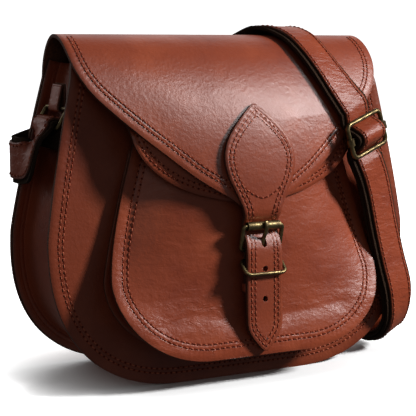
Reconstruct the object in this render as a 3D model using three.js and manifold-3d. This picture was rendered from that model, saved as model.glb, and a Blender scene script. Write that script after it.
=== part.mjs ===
// Leather crossbody bag with a buckled flap, an outer pocket and a shoulder strap.
// Millimetres, X to the right, Y to the back, Z up from the edge it stands on.
import * as THREE from 'three';
import { mergeVertices } from 'three/addons/utils/BufferGeometryUtils.js';
import Module from 'manifold-3d';

const wasm = await Module();
wasm.setup();

// Leather and seams
const GAP = 0.3;
const LEATHER = 2.0;
const SOFT_LEATHER = 1.5;
const FLANGE = 9.5;
const EDGE_SETBACK = 0.6;

// Outline of the front and back panels: flat foot, round corner, tapering side
const BODY = {
  flat: 40, widest: 132, bottom: 0, shoulder: 92, top: 206, topHalf: 109.5, taper: 1.2, round: 2.4,
};
const FRONT_TOP = 202;
const FRONT_PLANE = { foot: -39, lean: 0.1 };
const FRONT_CURL = { high: 16, back: 4.2, power: 1.6 };
const BACK_PLANE = { foot: 39, lean: -0.073 };

// The flap is a quarter ellipse over the front and a tighter one down the back
const FLAP = { ridgeY: 9, ridgeZ: 218, centreZ: 110, reach: 67, sag: 13, sagAt: 100, sagPower: 1.3 };
const FLAP_BACK = { reach: 16, centreZ: 191 };
const RIDGE_ANGLES = [30, 55, 75];
const FLAP_THICK = 2.2;
const FLAP_EDGE = [
  { z: 111, half: 11 },
  { z: 118, half: 20 },
  { z: 125, half: 32 },
  { z: 132, half: 43.4 },
  { z: 148, half: 64.2 },
  { z: 160, half: 79 },
  { z: 171.6, half: 92 },
  { z: 183, half: 103 },
  { z: 192, half: 108.5 },
  { z: 200, half: 111.4 },
  { z: 208, half: 112.4 },
  { z: 214, half: 112.4 },
  { z: 217, half: 112.2 },
  { z: 218, half: 112 },
];

// The pocket front stands out at the foot and meets the front panel near its top
const POCKET = {
  flat: 35, widest: 97.5, bottom: 19, shoulder: 68, top: 152, topHalf: 75.5, taper: 1.2, round: 2,
};
const POCKET_FLANGE = 8.5;
const POCKET_DOME = 2.6;
const POCKET_WALL_DEPTH = 2.24;
const POCKET_GUSSET_TOP = 148;
const POCKET_FACE = [
  { z: 19, edge: -65, middle: -65 },
  { z: 28, edge: -63.4, middle: -63.5 },
  { z: 46, edge: -57.5, middle: -58.6 },
  { z: 59, edge: -51, middle: -55.9 },
  { z: 78, edge: -42.5, middle: -53.9 },
  { z: 97, edge: -37.2, middle: -51.8 },
  { z: 120, edge: -33.4, middle: -48.6 },
  { z: 140, edge: -31.4, middle: -45.2 },
  { z: 152, edge: -30.2, middle: -43 },
];

// Pocket flap: sewn on the front panel along its top, lower edge a shallow curve
const POCKET_FLAP = { hem: 178, turn: 157, settle: 174, behindFlap: 3.1 };
const POCKET_FLAP_EDGE = [
  { z: 114.5, half: 9 },
  { z: 117, half: 23 },
  { z: 122, half: 43 },
  { z: 130, half: 60 },
  { z: 140, half: 72.5 },
  { z: 151, half: 79.6 },
  { z: 160, half: 81.6 },
  { z: 178, half: 80 },
];

// Closure tab: a leaf on the flap, then a strap down the pocket
const TAB_THICK = 2.6;
const TAB_LEAVES_FLAP = { from: 118, to: 110 };
const TAB = { apex: 175.5, bendHigh: 113, bendLow: 86, taper: 40, tip: 21.8 };
const TAB_EDGE = [
  { z: 175.5, half: 1.2 },
  { z: 170, half: 8 },
  { z: 162, half: 16.2 },
  { z: 153, half: 22.6 },
  { z: 143, half: 25.2 },
  { z: 132, half: 23.2 },
  { z: 121, half: 18 },
  { z: 112, half: 14 },
  { z: 104, half: 12.3 },
  { z: 92, half: 12.3 },
  { z: 84, half: 12.7 },
  { z: 40, half: 12.6 },
  { z: 33.5, half: 10.9 },
  { z: 26, half: 5.4 },
  { z: 21.8, half: 1.2 },
];
const TAB_BACK = [
  { z: 111, y: -58.4 },
  { z: 108, y: -57.9 },
  { z: 104.5, y: -56 },
  { z: 101, y: -55.1 },
  { z: 95, y: -56.9 },
  { z: 90.5, y: -59.5 },
  { z: 86, y: -61.1 },
  { z: 79, y: -61.8 },
  { z: 62, y: -62.4 },
  { z: 50, y: -63 },
  { z: 40, y: -63.6 },
  { z: 28, y: -65 },
  { z: 21, y: -65.7 },
];
const TAB_HOLE = { radius: 1.7, upper: 74, lower: 55 };

// Roller buckle, its chape and the keeper loop
const BUCKLE = { wire: 1.4, half: 14.3, barY: -57.6, barZ: 86, rollerY: -60.9, rollerZ: 101, corner: 2.2 };
const ROLLER = { radius: 2.8, length: 23.8 };
const PRONG = { wire: 1.0, slack: 0.45, hole: 1.9 };
const PRONG_SLOT = { half: 1.5, depth: 16, high: 11, rise: 0.6 };
const PRONG_EYE = { from: -115, to: -295, parts: 4 };
const PRONG_ROUTE = [
  { y: -60.4, z: 87.6 },
  { y: -61.8, z: 93 },
  { y: -64.1, z: 97 },
  { y: -65.2, z: 101 },
  { y: -64.2, z: 104.2 },
];
const CHAPE = { half: 10, thick: 1.4 };
const CHAPE_FOLD = [
  { y: -60.1, z: 47, outY: 1, outZ: 0 },
  { y: -57.3, z: 62, outY: 1, outZ: 0 },
  { y: -55.6, z: 79, outY: 1, outZ: 0 },
  { y: -55.8, z: 85.5, outY: 1, outZ: 0.1 },
  { y: -56.4, z: 87.2, outY: 0.7, outZ: 0.7 },
  { y: -57.6, z: 87.8, outY: 0, outZ: 1 },
  { y: -58.8, z: 87.2, outY: -0.7, outZ: 0.7 },
  { y: -59.3, z: 85.5, outY: -1, outZ: 0.1 },
  { y: -59.3, z: 79, outY: -1, outZ: 0 },
  { y: -59.2, z: 62, outY: -1, outZ: 0 },
  { y: -59.2, z: 57.5, outY: -1, outZ: 0 },
];
const BAND = { low: 59.5, high: 65, outerHalf: 13, front: -62.1, back: -57.6, thick: 1.1 };
const KEEPER = { wire: 1.2, half: 14.6, backY: -57.6, backZ: 79.2, frontY: -66.8, frontZ: 71.4, corner: 3.8 };

// Shoulder strap: leather strip on webbing
const WEB_THICK = 2.0;
const WEB_HALF = 14.5;
const BEND_SLACK = 0.85;
const STRAP_SEAM = 0.6;
const STRAP_LEATHER = 1.3;
const STRAP_LEATHER_HALF = 11.4;
const STRAP_STEPS = 2;
const STRAP_BELOW_SLIDE = 2;
const PLY_STEP = 2 * WEB_THICK + 2 * GAP;
const FOLD_ANGLES = [0, 45, 90, 135, 180];
const STRAP_LEFT_END = [
  { toward: 3.2, down: 14 },
  { toward: 3.5, down: 6 },
];

// Rings that hold the strap on the gusset, left and right
const RING = { wire: 1.3, half: 16.1, drop: 13, corner: 2.6, tilt: 30 };
const RING_LEFT = { x: -112.4, y: 2.2, z: 173 };
const RING_RIGHT = { x: 113.4, y: 3, z: 175 };
const RING_TAB = { half: 7, thick: 1.4, rise: 15, frontOut: 0.3, frontTurn: 6.8, frontRise: 14.2 };

// Slide on the strap: middle, directions across and along the strap, size
const SLIDE = { wire: 1.6, half: 18, rise: 11.2, corner: 4, bar: 1.4, eye: 2.8, eyeHalf: 2.4 };
const SLIDE_MIDDLE = new THREE.Vector3(86.6, -49, 154.8);
const SLIDE_ACROSS = new THREE.Vector3(0.915, 0.288, 0.276).normalize();
const SLIDE_DOWN = new THREE.Vector3(0.36, -0.02, -0.93).projectOnPlane(SLIDE_ACROSS).normalize();
const SLIDE_OUT = new THREE.Vector3().crossVectors(SLIDE_DOWN, SLIDE_ACROSS);
const STRAP_IN_SLIDE = [
  { down: -19, out: -4.7 },
  { down: -14, out: -5 },
  { down: -10.3, out: -5.2 },
  { down: -5.2, out: 0.8 },
  { down: 0, out: 5.5 },
  { down: 5.2, out: 0.8 },
  { down: 10.3, out: -5.2 },
  { down: 14, out: -4.9 },
  { down: 19.5, out: -3.4 },
];

// The strap's other end, behind the slide's bar
const STRAP_TAIL = [
  { down: 14, out: -4.9 - PLY_STEP },
  { down: 9, out: -9 },
  { down: 4, out: -6 },
  { down: 0, out: -4.4 },
  { down: -3, out: -4.2 },
];

// Strap route from the left ring over the flap: place of the seam between webbing
// and leather, and the way the leather faces
const STRAP_OVER = [
  { x: -123.4, y: 2.4, z: 156.5, fx: -1, fy: 0, fz: 0.06 },
  { x: -124.2, y: 4.6, z: 147.8, fx: -1, fy: -0.08, fz: 0.06 },
  { x: -125.6, y: 10.8, z: 141.6, fx: -1, fy: -0.18, fz: 0.02 },
  { x: -128.6, y: 18.6, z: 139, fx: -1, fy: -0.24, fz: 0 },
  { x: -131.4, y: 26, z: 138.8, fx: -1, fy: -0.05, fz: 0 },
  { x: -129.6, y: 32, z: 139.5, fx: -0.75, fy: 0.7, fz: 0 },
  { x: -121, y: 33.6, z: 141.8, fx: -0.1, fy: 1, fz: 0.05 },
  { x: -95, y: 31.6, z: 150.5, fx: 0, fy: 1, fz: 0.07 },
  { x: -45, y: 29.8, z: 170, fx: 0, fy: 1, fz: 0.07 },
  { x: 5, y: 27.9, z: 190.5, fx: 0, fy: 1, fz: 0.1 },
  { x: 30, y: 27.2, z: 205.4, fx: 0.05, fy: 0.93, fz: 0.4 },
  { x: 45, y: 20.6, z: 217.4, fx: 0.05, fy: 0.66, fz: 0.75 },
  { x: 53, y: 8, z: 222, fx: 0, fy: 0.05, fz: 1 },
  { x: 57.6, y: -8, z: 218.1, fx: 0.05, fy: -0.4, fz: 0.9 },
  { x: 60.5, y: -21.4, z: 208.9, fx: 0.15, fy: -0.66, fz: 0.73 },
  { x: 65.4, y: -30.9, z: 197.6, fx: 0.2, fy: -0.8, fz: 0.55 },
  { x: 71.2, y: -37.6, z: 186.2, fx: 0.22, fy: -0.89, fz: 0.36 },
  { x: 76.4, y: -42, z: 177.4, fx: 0.25, fy: -0.94, fz: 0.2 },
];
// Route from the slide down round the front corner and up to the right ring
const STRAP_DROP = [
  { x: 100.2, y: -43.6, z: 120, fx: 0.3, fy: -0.95, fz: 0 },
  { x: 108, y: -42.8, z: 93, fx: 0.3, fy: -0.95, fz: 0 },
  { x: 115.2, y: -43.2, z: 68, fx: 0.3, fy: -0.95, fz: 0 },
  { x: 121.8, y: -43.8, z: 46, fx: 0.3, fy: -0.95, fz: -0.05 },
  { x: 126.4, y: -38.4, z: 28, fx: 0.4, fy: -0.85, fz: -0.35 },
  { x: 128.6, y: -27, z: 14.5, fx: 0.42, fy: -0.4, fz: -0.8 },
  { x: 129.4, y: -11, z: 10.5, fx: 0.42, fy: 0.1, fz: -0.9 },
  { x: 129.4, y: 2, z: 18.5, fx: 0.5, fy: 0.7, fz: -0.5 },
  { x: 130.4, y: 6, z: 38, fx: 0.62, fy: 0.76, fz: -0.1 },
  { x: 132, y: 5, z: 58, fx: 0.8, fy: 0.55, fz: 0 },
  { x: 132.6, y: 4, z: 80, fx: 0.92, fy: 0.36, fz: 0 },
  { x: 129.8, y: 3, z: 118, fx: 0.98, fy: 0.15, fz: 0.05 },
  { x: 125.6, y: 3, z: 148, fx: 1, fy: 0, fz: 0.1 },
];

// How finely each kind of piece is divided
const CURL_ROWS = { high: FRONT_CURL.high, parts: 3 };
const PLAIN_TOP = { high: 16, parts: 1 };
const PANEL_ROWS = { corner: 8, side: 2, across: 12, curl: CURL_ROWS };
const BACK_ROWS = { corner: 8, side: 2, across: 12, curl: PLAIN_TOP };
const GUSSET_ROWS = { corner: 7, side: 3, foot: 3, curl: CURL_ROWS };
const POCKET_ROWS = { corner: 8, side: 4, across: 14, curl: PLAIN_TOP };
const POCKET_GUSSET_ROWS = { corner: 7, side: 3, foot: 3, curl: PLAIN_TOP };
const POCKET_FLAP_ROWS = { hanging: 4, turning: 6, across: 12 };
const TAB_ROWS = { tip: 4, strap: 4, bend: 8, leaf: 8, across: 4 };
const BUCKLE_PARTS = 38;
const RING_PARTS = 32;
const WIRE_SIDES = 6;
const PRONG_PARTS = 20;
const ROD_SIDES = 12;
const ROLLER_SIDES = 16;
const FOLD_STEPS = 2;
const LOOP_STRAIGHT = 0.6;

// Colours of the materials
const BROWN_LEATHER = { color: 0x7a3f2a, roughness: 0.45, metalness: 0 };
const DARK_WEBBING = { color: 0x2a1c14, roughness: 0.9, metalness: 0 };
const AGED_BRASS = { color: 0x9a8150, roughness: 0.35, metalness: 1 };

const bag = new THREE.Group();
bag.name = 'crossbody_bag';

function addPiece(name, geometry, finish) {
  const mesh = new THREE.Mesh(geometry, new THREE.MeshStandardMaterial(finish));
  mesh.name = name;
  bag.add(mesh);
}

// Even steps from one value up to, but not including, another
function span(from, to, count) {
  return Array.from({ length: count }, (_, k) => from + ((to - from) * k) / count);
}

// Smooth curve through a table, read by one column
function column(table, key, value) {
  return (at) => {
    const rows = table[0][key] < table[table.length - 1][key] ? table : [...table].reverse();
    const last = rows.length - 1;
    const clamped = Math.min(Math.max(at, rows[0][key]), rows[last][key]);
    let i = 0;
    while (i < last - 1 && rows[i + 1][key] < clamped) i += 1;
    const slope = (k) => {
      const a = rows[Math.max(k - 1, 0)];
      const b = rows[Math.min(k + 1, last)];
      return (b[value] - a[value]) / (b[key] - a[key]);
    };
    const span = rows[i + 1][key] - rows[i][key];
    const t = (clamped - rows[i][key]) / span;
    const start = (1 + 2 * t) * (1 - t) ** 2 * rows[i][value] + t * (1 - t) ** 2 * span * slope(i);
    const end = t * t * (3 - 2 * t) * rows[i + 1][value] + t * t * (t - 1) * span * slope(i + 1);
    return start + end;
  };
}

// Half width of a panel outline at a height
function halfWidth(shape, z) {
  if (z <= shape.shoulder) {
    const drop = (shape.shoulder - z) / (shape.shoulder - shape.bottom);
    const reach = Math.max(0, 1 - drop ** shape.round) ** (1 / shape.round);
    return shape.flat + (shape.widest - shape.flat) * reach;
  }
  const rise = (z - shape.shoulder) / (shape.top - shape.shoulder);
  return shape.widest - (shape.widest - shape.topHalf) * rise ** shape.taper;
}

// Heights of the rows of a panel, close together in the round corner
function rowHeights(shape, top, rows) {
  const corner = span(0, Math.PI / 2, rows.corner).map((angle) => (
    shape.shoulder - (shape.shoulder - shape.bottom) * Math.cos(angle)
  ));
  const side = span(shape.shoulder, top - rows.curl.high, rows.side);
  return [...corner, ...side, ...span(top - rows.curl.high, top, rows.curl.parts), top];
}

// Outline from the left top round the foot to the right top, with the way in
function outlineStations(shape, top, rows) {
  const heights = rowHeights(shape, top, rows);
  const points = [...heights].reverse().map((z) => ({ x: -halfWidth(shape, z), z }));
  span(-shape.flat, shape.flat, rows.foot).slice(1).forEach((x) => points.push({ x, z: shape.bottom }));
  heights.forEach((z) => points.push({ x: halfWidth(shape, z), z }));
  return points.map((point, i) => {
    const before = points[Math.max(i - 1, 0)];
    const after = points[Math.min(i + 1, points.length - 1)];
    const length = Math.hypot(after.x - before.x, after.z - before.z);
    return { ...point, inX: -(after.z - before.z) / length, inZ: (after.x - before.x) / length };
  });
}

// A wall of leather over a grid of points, between two depths along its normals
function sheet(grid, inner, outer, rowNormals) {
  const rows = grid.length - 1;
  const cols = grid[0].length - 1;
  const normalAt = (i, j) => {
    if (rowNormals) return rowNormals[i];
    const across = grid[i][Math.min(j + 1, cols)].clone().sub(grid[i][Math.max(j - 1, 0)]);
    const along = grid[Math.min(i + 1, rows)][j].clone().sub(grid[Math.max(i - 1, 0)][j]);
    return across.cross(along).normalize();
  };
  const geometry = new THREE.BoxGeometry(1, 1, 1, cols, rows, 1);
  const position = geometry.attributes.position;
  for (let k = 0; k < position.count; k += 1) {
    const j = Math.round((position.getX(k) + 0.5) * cols);
    const i = Math.round((position.getY(k) + 0.5) * rows);
    const depth = position.getZ(k) > 0 ? outer : inner;
    const point = grid[i][j].clone().addScaledVector(normalAt(i, j), depth);
    position.setXYZ(k, point.x, point.y, Math.max(point.z, 0));
  }
  // Both faces are split along the same diagonals, so the wall keeps its thickness
  const index = geometry.index;
  const { start, count } = geometry.groups[geometry.groups.length - 1];
  for (let k = start; k < start + count; k += 6) {
    const a = index.getX(k);
    const c = index.getX(k + 4);
    const d = index.getX(k + 5);
    index.setX(k + 2, c);
    index.setX(k + 3, a);
    index.setX(k + 4, c);
    index.setX(k + 5, d);
  }
  geometry.computeVertexNormals();
  return geometry;
}

// Panel grid: one row per height, spread over the outline's width there
function panelGrid(heights, half, faceY, cols) {
  return heights.map((z) => {
    const row = [];
    for (let j = 0; j <= cols; j += 1) {
      const x = half(z) * ((2 * j) / cols - 1);
      row.push(new THREE.Vector3(x, faceY(x, z), z));
    }
    return row;
  });
}

// The front leans back and curls in along its top; the back follows the ridge above the fold's start
function frontY(x, z) {
  const curl = Math.max(0, (z - FRONT_TOP + FRONT_CURL.high) / FRONT_CURL.high);
  return FRONT_PLANE.foot + FRONT_PLANE.lean * z + FRONT_CURL.back * curl ** FRONT_CURL.power;
}
function backY(x, z) {
  if (z <= FLAP_BACK.centreZ) return BACK_PLANE.foot + BACK_PLANE.lean * z;
  const rise = (z - FLAP_BACK.centreZ) / (FLAP.ridgeZ - FLAP_BACK.centreZ);
  return FLAP.ridgeY + FLAP_BACK.reach * Math.sqrt(1 - rise * rise);
}
const bodyHalf = (z) => halfWidth(BODY, z);

// Outer face of the flap over the front
function flapY(x, z) {
  const reach = FLAP.reach - FLAP.sag * (Math.abs(x) / FLAP.sagAt) ** FLAP.sagPower;
  const rise = Math.min(Math.max((z - FLAP.centreZ) / (FLAP.ridgeZ - FLAP.centreZ), 0), 1);
  return FLAP.ridgeY - reach * Math.sqrt(1 - rise * rise);
}

// Front panel
const frontHeights = rowHeights(BODY, FRONT_TOP, PANEL_ROWS);
const frontGrid = panelGrid(frontHeights, bodyHalf, frontY, PANEL_ROWS.across);
addPiece('front_panel', sheet(frontGrid, -LEATHER, 0), BROWN_LEATHER);

// Back panel and flap in one piece, from the point of the flap over the ridge to the foot
const flapRows = FLAP_EDGE.map((row) => ({ z: row.z, half: row.half, y: flapY }));
const ridgeHalf = FLAP_EDGE[FLAP_EDGE.length - 1].half;
RIDGE_ANGLES.map((degrees) => THREE.MathUtils.degToRad(degrees)).forEach((angle) => {
  const height = FLAP.ridgeZ - FLAP_BACK.centreZ;
  const z = FLAP_BACK.centreZ + height * Math.cos(angle);
  const y = FLAP.ridgeY + FLAP_BACK.reach * Math.sin(angle);
  const half = THREE.MathUtils.lerp(ridgeHalf, bodyHalf(FLAP_BACK.centreZ), Math.sin(angle) ** 2);
  flapRows.push({ z, half, y: () => y });
});
rowHeights(BODY, FLAP_BACK.centreZ, BACK_ROWS).reverse().forEach((z) => {
  flapRows.push({ z, half: bodyHalf(z), y: backY });
});
const flapGrid = flapRows.map((row) => panelGrid([row.z], () => row.half, row.y, PANEL_ROWS.across)[0]);
addPiece('back_and_flap', sheet(flapGrid, -FLAP_THICK, 0), BROWN_LEATHER);

// A strip with outward flanges between two faces, following an outline
const GUSSET_SECTION = [
  { inset: EDGE_SETBACK, depth: 0 },
  { inset: FLANGE - 1, depth: 0 },
  { inset: FLANGE + 0.6, depth: 0.05 },
  { inset: FLANGE + 1.6, depth: 0.28 },
  { inset: FLANGE + 2, depth: 0.5 },
  { inset: FLANGE + 1.6, depth: 0.72 },
  { inset: FLANGE + 0.6, depth: 0.95 },
  { inset: FLANGE - 1, depth: 1 },
  { inset: EDGE_SETBACK, depth: 1 },
];
function channelGrid(stations, section, nearY, farY) {
  return stations.map((station) => section.map(({ inset, depth }) => {
    const x = station.x + station.inX * inset;
    const z = station.z + station.inZ * inset;
    return new THREE.Vector3(x, (1 - depth) * nearY(x, z) + depth * farY(x, z), z);
  }));
}
const gussetStations = outlineStations(BODY, FRONT_TOP, GUSSET_ROWS);
const gussetNear = (x, z) => frontY(x, z) + LEATHER + GAP;
const gussetFar = (x, z) => backY(x, z) - FLAP_THICK - 2 * GAP;
const gussetGrid = channelGrid(gussetStations, GUSSET_SECTION, gussetNear, gussetFar);
addPiece('gusset', sheet(gussetGrid, 0, SOFT_LEATHER), BROWN_LEATHER);

// Pocket front, flat along its flange and domed inside it
const pocketEdgeY = column(POCKET_FACE, 'z', 'edge');
const pocketMiddleY = column(POCKET_FACE, 'z', 'middle');
const pocketHalf = (z) => halfWidth(POCKET, z);
function pocketY(x, z) {
  const inside = Math.min(Math.abs(x) / (pocketHalf(z) - POCKET_FLANGE), 1);
  return pocketEdgeY(z) + (pocketMiddleY(z) - pocketEdgeY(z)) * (1 - inside ** POCKET_DOME);
}
const pocketHeights = rowHeights(POCKET, POCKET.top, POCKET_ROWS);
const pocketFace = panelGrid(pocketHeights, pocketHalf, pocketY, POCKET_ROWS.across);
addPiece('pocket_panel', sheet(pocketFace, -LEATHER, 0), BROWN_LEATHER);

// Pocket gusset, deep at the foot and closing towards the top
const POCKET_SECTION = [
  { inset: EDGE_SETBACK, depth: 0 },
  { inset: POCKET_FLANGE - 2, depth: 0 },
  { inset: POCKET_FLANGE - 0.6, depth: 0.12 },
  { inset: POCKET_FLANGE, depth: 0.5 },
  { inset: POCKET_FLANGE - 0.6, depth: 0.88 },
  { inset: POCKET_FLANGE - 2, depth: 1 },
  { inset: EDGE_SETBACK, depth: 1 },
];
const pocketStations = outlineStations(POCKET, POCKET_GUSSET_TOP, POCKET_GUSSET_ROWS);
const pocketNear = (x, z) => pocketEdgeY(z) + POCKET_WALL_DEPTH + GAP;
const pocketFar = (x, z) => frontY(x, z) - GAP;
const pocketGrid = channelGrid(pocketStations, POCKET_SECTION, pocketNear, pocketFar);
addPiece('pocket_gusset', sheet(pocketGrid, 0, SOFT_LEATHER), BROWN_LEATHER);

// Pocket flap, hemmed on the front panel and hanging just behind the main flap
const pocketFlapHalf = column(POCKET_FLAP_EDGE, 'z', 'half');
function pocketFlapY(x, z) {
  const hanging = flapY(x, z) + POCKET_FLAP.behindFlap;
  const hemmed = frontY(x, z) - LEATHER - GAP;
  const sewn = THREE.MathUtils.smoothstep(z, POCKET_FLAP.turn, POCKET_FLAP.settle);
  return THREE.MathUtils.lerp(hanging, hemmed, sewn);
}
const pocketFlapHeights = [
  ...POCKET_FLAP_EDGE.slice(0, POCKET_FLAP_ROWS.hanging).map((row) => row.z),
  ...span(POCKET_FLAP_EDGE[POCKET_FLAP_ROWS.hanging].z, POCKET_FLAP.hem, POCKET_FLAP_ROWS.turning),
  POCKET_FLAP.hem,
];
const pocketFlapGrid = panelGrid(pocketFlapHeights, pocketFlapHalf, pocketFlapY, POCKET_FLAP_ROWS.across);
addPiece('pocket_flap', sheet(pocketFlapGrid, -LEATHER, 0), BROWN_LEATHER);

// Solids for joining and cutting
function solid(geometry) {
  const plain = geometry.clone();
  plain.deleteAttribute('normal');
  plain.deleteAttribute('uv');
  const merged = mergeVertices(plain, 1e-4);
  const vertProperties = new Float32Array(merged.attributes.position.array);
  const triVerts = new Uint32Array(merged.index.array);
  return new wasm.Manifold(new wasm.Mesh({ numProp: 3, vertProperties, triVerts }));
}
function fromSolid(body) {
  const mesh = body.getMesh();
  const geometry = new THREE.BufferGeometry();
  geometry.setAttribute('position', new THREE.BufferAttribute(mesh.vertProperties, 3));
  geometry.setIndex(new THREE.BufferAttribute(mesh.triVerts, 1));
  const open = geometry.toNonIndexed();
  open.computeVertexNormals();
  return open;
}
function rod(from, to, radius, sides) {
  const along = to.clone().sub(from);
  const geometry = new THREE.CylinderGeometry(radius, radius, along.length(), sides);
  const turn = new THREE.Quaternion().setFromUnitVectors(new THREE.Vector3(0, 1, 0), along.normalize());
  geometry.applyQuaternion(turn);
  const middle = from.clone().add(to).multiplyScalar(0.5);
  geometry.translate(middle.x, middle.y, middle.z);
  return geometry;
}

// Closure tab: the leaf follows the flap, the strap below passes behind the roller
const tabHalf = column(TAB_EDGE, 'z', 'half');
const tabBackY = column(TAB_BACK, 'z', 'y');
const tabHeights = [
  ...span(TAB.tip, TAB.taper, TAB_ROWS.tip),
  ...span(TAB.taper, TAB.bendLow, TAB_ROWS.strap),
  ...span(TAB.bendLow, TAB.bendHigh, TAB_ROWS.bend),
  ...span(TAB.bendHigh, TAB.apex, TAB_ROWS.leaf),
  TAB.apex,
];
function tabFaceY(x, z) {
  const onFlap = flapY(x, z) - GAP;
  const hanging = tabBackY(z);
  const blend = THREE.MathUtils.smoothstep(z, TAB_LEAVES_FLAP.to, TAB_LEAVES_FLAP.from);
  return THREE.MathUtils.lerp(hanging, onFlap, blend);
}
const tabSheet = sheet(panelGrid(tabHeights, tabHalf, tabFaceY, TAB_ROWS.across), 0, TAB_THICK);
let tab = solid(tabSheet);
[TAB_HOLE.upper, TAB_HOLE.lower].forEach((z) => {
  const back = new THREE.Vector3(0, tabBackY(z) + TAB_THICK, z);
  const front = new THREE.Vector3(0, tabBackY(z) - 2 * TAB_THICK, z);
  tab = tab.subtract(solid(rod(back, front, TAB_HOLE.radius, ROD_SIDES)));
});
const prongLow = new THREE.Vector3(0, PRONG_ROUTE[0].y, PRONG_ROUTE[0].z);
const prongHigh = new THREE.Vector3(0, PRONG_ROUTE[1].y, PRONG_ROUTE[1].z);
const prongWay = prongHigh.clone().sub(prongLow).multiplyScalar(0.6);
tab = tab.subtract(solid(rod(prongLow.sub(prongWay), prongHigh.add(prongWay), PRONG.hole, ROD_SIDES)));
addPiece('closure_tab', fromSolid(tab), BROWN_LEATHER);

// Closed loop of wire: a rectangle with round corners in a tilted plane
function wireLoop(middle, across, along, half, rise, corner, wire, parts, sides) {
  const points = [];
  [[1, 1, 0], [-1, 1, 90], [-1, -1, 180], [1, -1, 270]].forEach(([sx, sy, start]) => {
    [0, 30, 60, 90].forEach((step) => {
      const angle = THREE.MathUtils.degToRad(start + step);
      const a = sx * (half - corner) + corner * Math.cos(angle);
      const b = sy * (rise - corner) + corner * Math.sin(angle);
      points.push(middle.clone().addScaledVector(across, a).addScaledVector(along, b));
    });
    const level = start % 180 === 0;
    [LOOP_STRAIGHT, -LOOP_STRAIGHT].forEach((part) => {
      const a = level ? part * sx * (half - corner) : sx * half;
      const b = level ? sy * rise : part * sy * (rise - corner);
      points.push(middle.clone().addScaledVector(across, a).addScaledVector(along, b));
    });
  });
  const curve = new THREE.CatmullRomCurve3(points, true, 'centripetal');
  return new THREE.TubeGeometry(curve, parts, wire, sides, true);
}
// Wire along an open curve, with a round section
function openWire(points, wire, parts, sides) {
  const section = new THREE.Shape();
  section.absarc(0, 0, wire, 0, 2 * Math.PI, false);
  const extrudePath = new THREE.CatmullRomCurve3(points);
  return new THREE.ExtrudeGeometry(section, { steps: parts, curveSegments: sides, extrudePath });
}

// Roller buckle
const X_AXIS = new THREE.Vector3(1, 0, 0);
const buckleLow = new THREE.Vector3(0, BUCKLE.barY, BUCKLE.barZ);
const buckleHigh = new THREE.Vector3(0, BUCKLE.rollerY, BUCKLE.rollerZ);
const buckleRise = buckleHigh.clone().sub(buckleLow);
const buckleMiddle = buckleLow.clone().add(buckleHigh).multiplyScalar(0.5);
const buckleHalf = buckleRise.length() / 2;
buckleRise.normalize();
addPiece('buckle_frame', wireLoop(buckleMiddle, X_AXIS, buckleRise, BUCKLE.half, buckleHalf, BUCKLE.corner,
  BUCKLE.wire, BUCKLE_PARTS, WIRE_SIDES), AGED_BRASS);

const rollerProfile = [
  new THREE.Vector2(BUCKLE.wire + GAP, -ROLLER.length / 2),
  new THREE.Vector2(ROLLER.radius, -ROLLER.length / 2),
  new THREE.Vector2(ROLLER.radius, ROLLER.length / 2),
  new THREE.Vector2(BUCKLE.wire + GAP, ROLLER.length / 2),
  new THREE.Vector2(BUCKLE.wire + GAP, -ROLLER.length / 2),
];
const roller = new THREE.LatheGeometry(rollerProfile, ROLLER_SIDES);
roller.rotateZ(Math.PI / 2);
roller.translate(0, BUCKLE.rollerY, BUCKLE.rollerZ);
addPiece('buckle_roller', roller, AGED_BRASS);

// Prong: an eye round the low bar, then through the tab and over the roller
const eyeRadius = BUCKLE.wire + PRONG.slack + PRONG.wire;
const prongTurns = [...span(PRONG_EYE.from, PRONG_EYE.to, PRONG_EYE.parts), PRONG_EYE.to];
const prongPoints = prongTurns.map((degrees) => {
  const angle = THREE.MathUtils.degToRad(degrees);
  const y = BUCKLE.barY - eyeRadius * Math.cos(angle);
  return new THREE.Vector3(0, y, BUCKLE.barZ - eyeRadius * Math.sin(angle));
});
PRONG_ROUTE.forEach(({ y, z }) => prongPoints.push(new THREE.Vector3(0, y, z)));
addPiece('buckle_prong', openWire(prongPoints, PRONG.wire, PRONG_PARTS, WIRE_SIDES - 2), AGED_BRASS);

// Frames along a route: place, the way across and the way the outer side faces
function routeFrames(route, perStep) {
  const path = new THREE.CatmullRomCurve3(route.map((row) => row.place), false, 'centripetal');
  const faces = new THREE.CatmullRomCurve3(route.map((row) => row.face));
  const steps = (route.length - 1) * perStep;
  const frames = [];
  for (let k = 0; k <= steps; k += 1) {
    const tangent = path.getTangent(k / steps);
    const across = tangent.clone().cross(faces.getPoint(k / steps)).normalize();
    const normal = across.clone().cross(tangent).normalize();
    frames.push({ place: path.getPoint(k / steps), across, normal });
  }
  return frames;
}
// Ribbon of a width over frames, between two depths
function ribbon(frames, half, inner, outer) {
  const grid = frames.map(({ place, across }) => (
    [-half, half].map((side) => place.clone().addScaledVector(across, side))
  ));
  return sheet(grid, inner, outer, frames.map(({ normal }) => normal));
}

// Chape: a strip folded round the low bar, slotted for the prong
const chapeRoute = CHAPE_FOLD.map((row) => ({
  place: new THREE.Vector3(0, row.y, row.z),
  face: new THREE.Vector3(0, row.outY, row.outZ),
}));
const chapeSlot = new THREE.BoxGeometry(2 * PRONG_SLOT.half, PRONG_SLOT.depth, PRONG_SLOT.high);
chapeSlot.translate(0, BUCKLE.barY, BUCKLE.barZ + PRONG_SLOT.rise);
const chapeStrip = solid(ribbon(routeFrames(chapeRoute, FOLD_STEPS), CHAPE.half, 0, CHAPE.thick));
addPiece('buckle_chape', fromSolid(chapeStrip.subtract(solid(chapeSlot))), BROWN_LEATHER);

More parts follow.
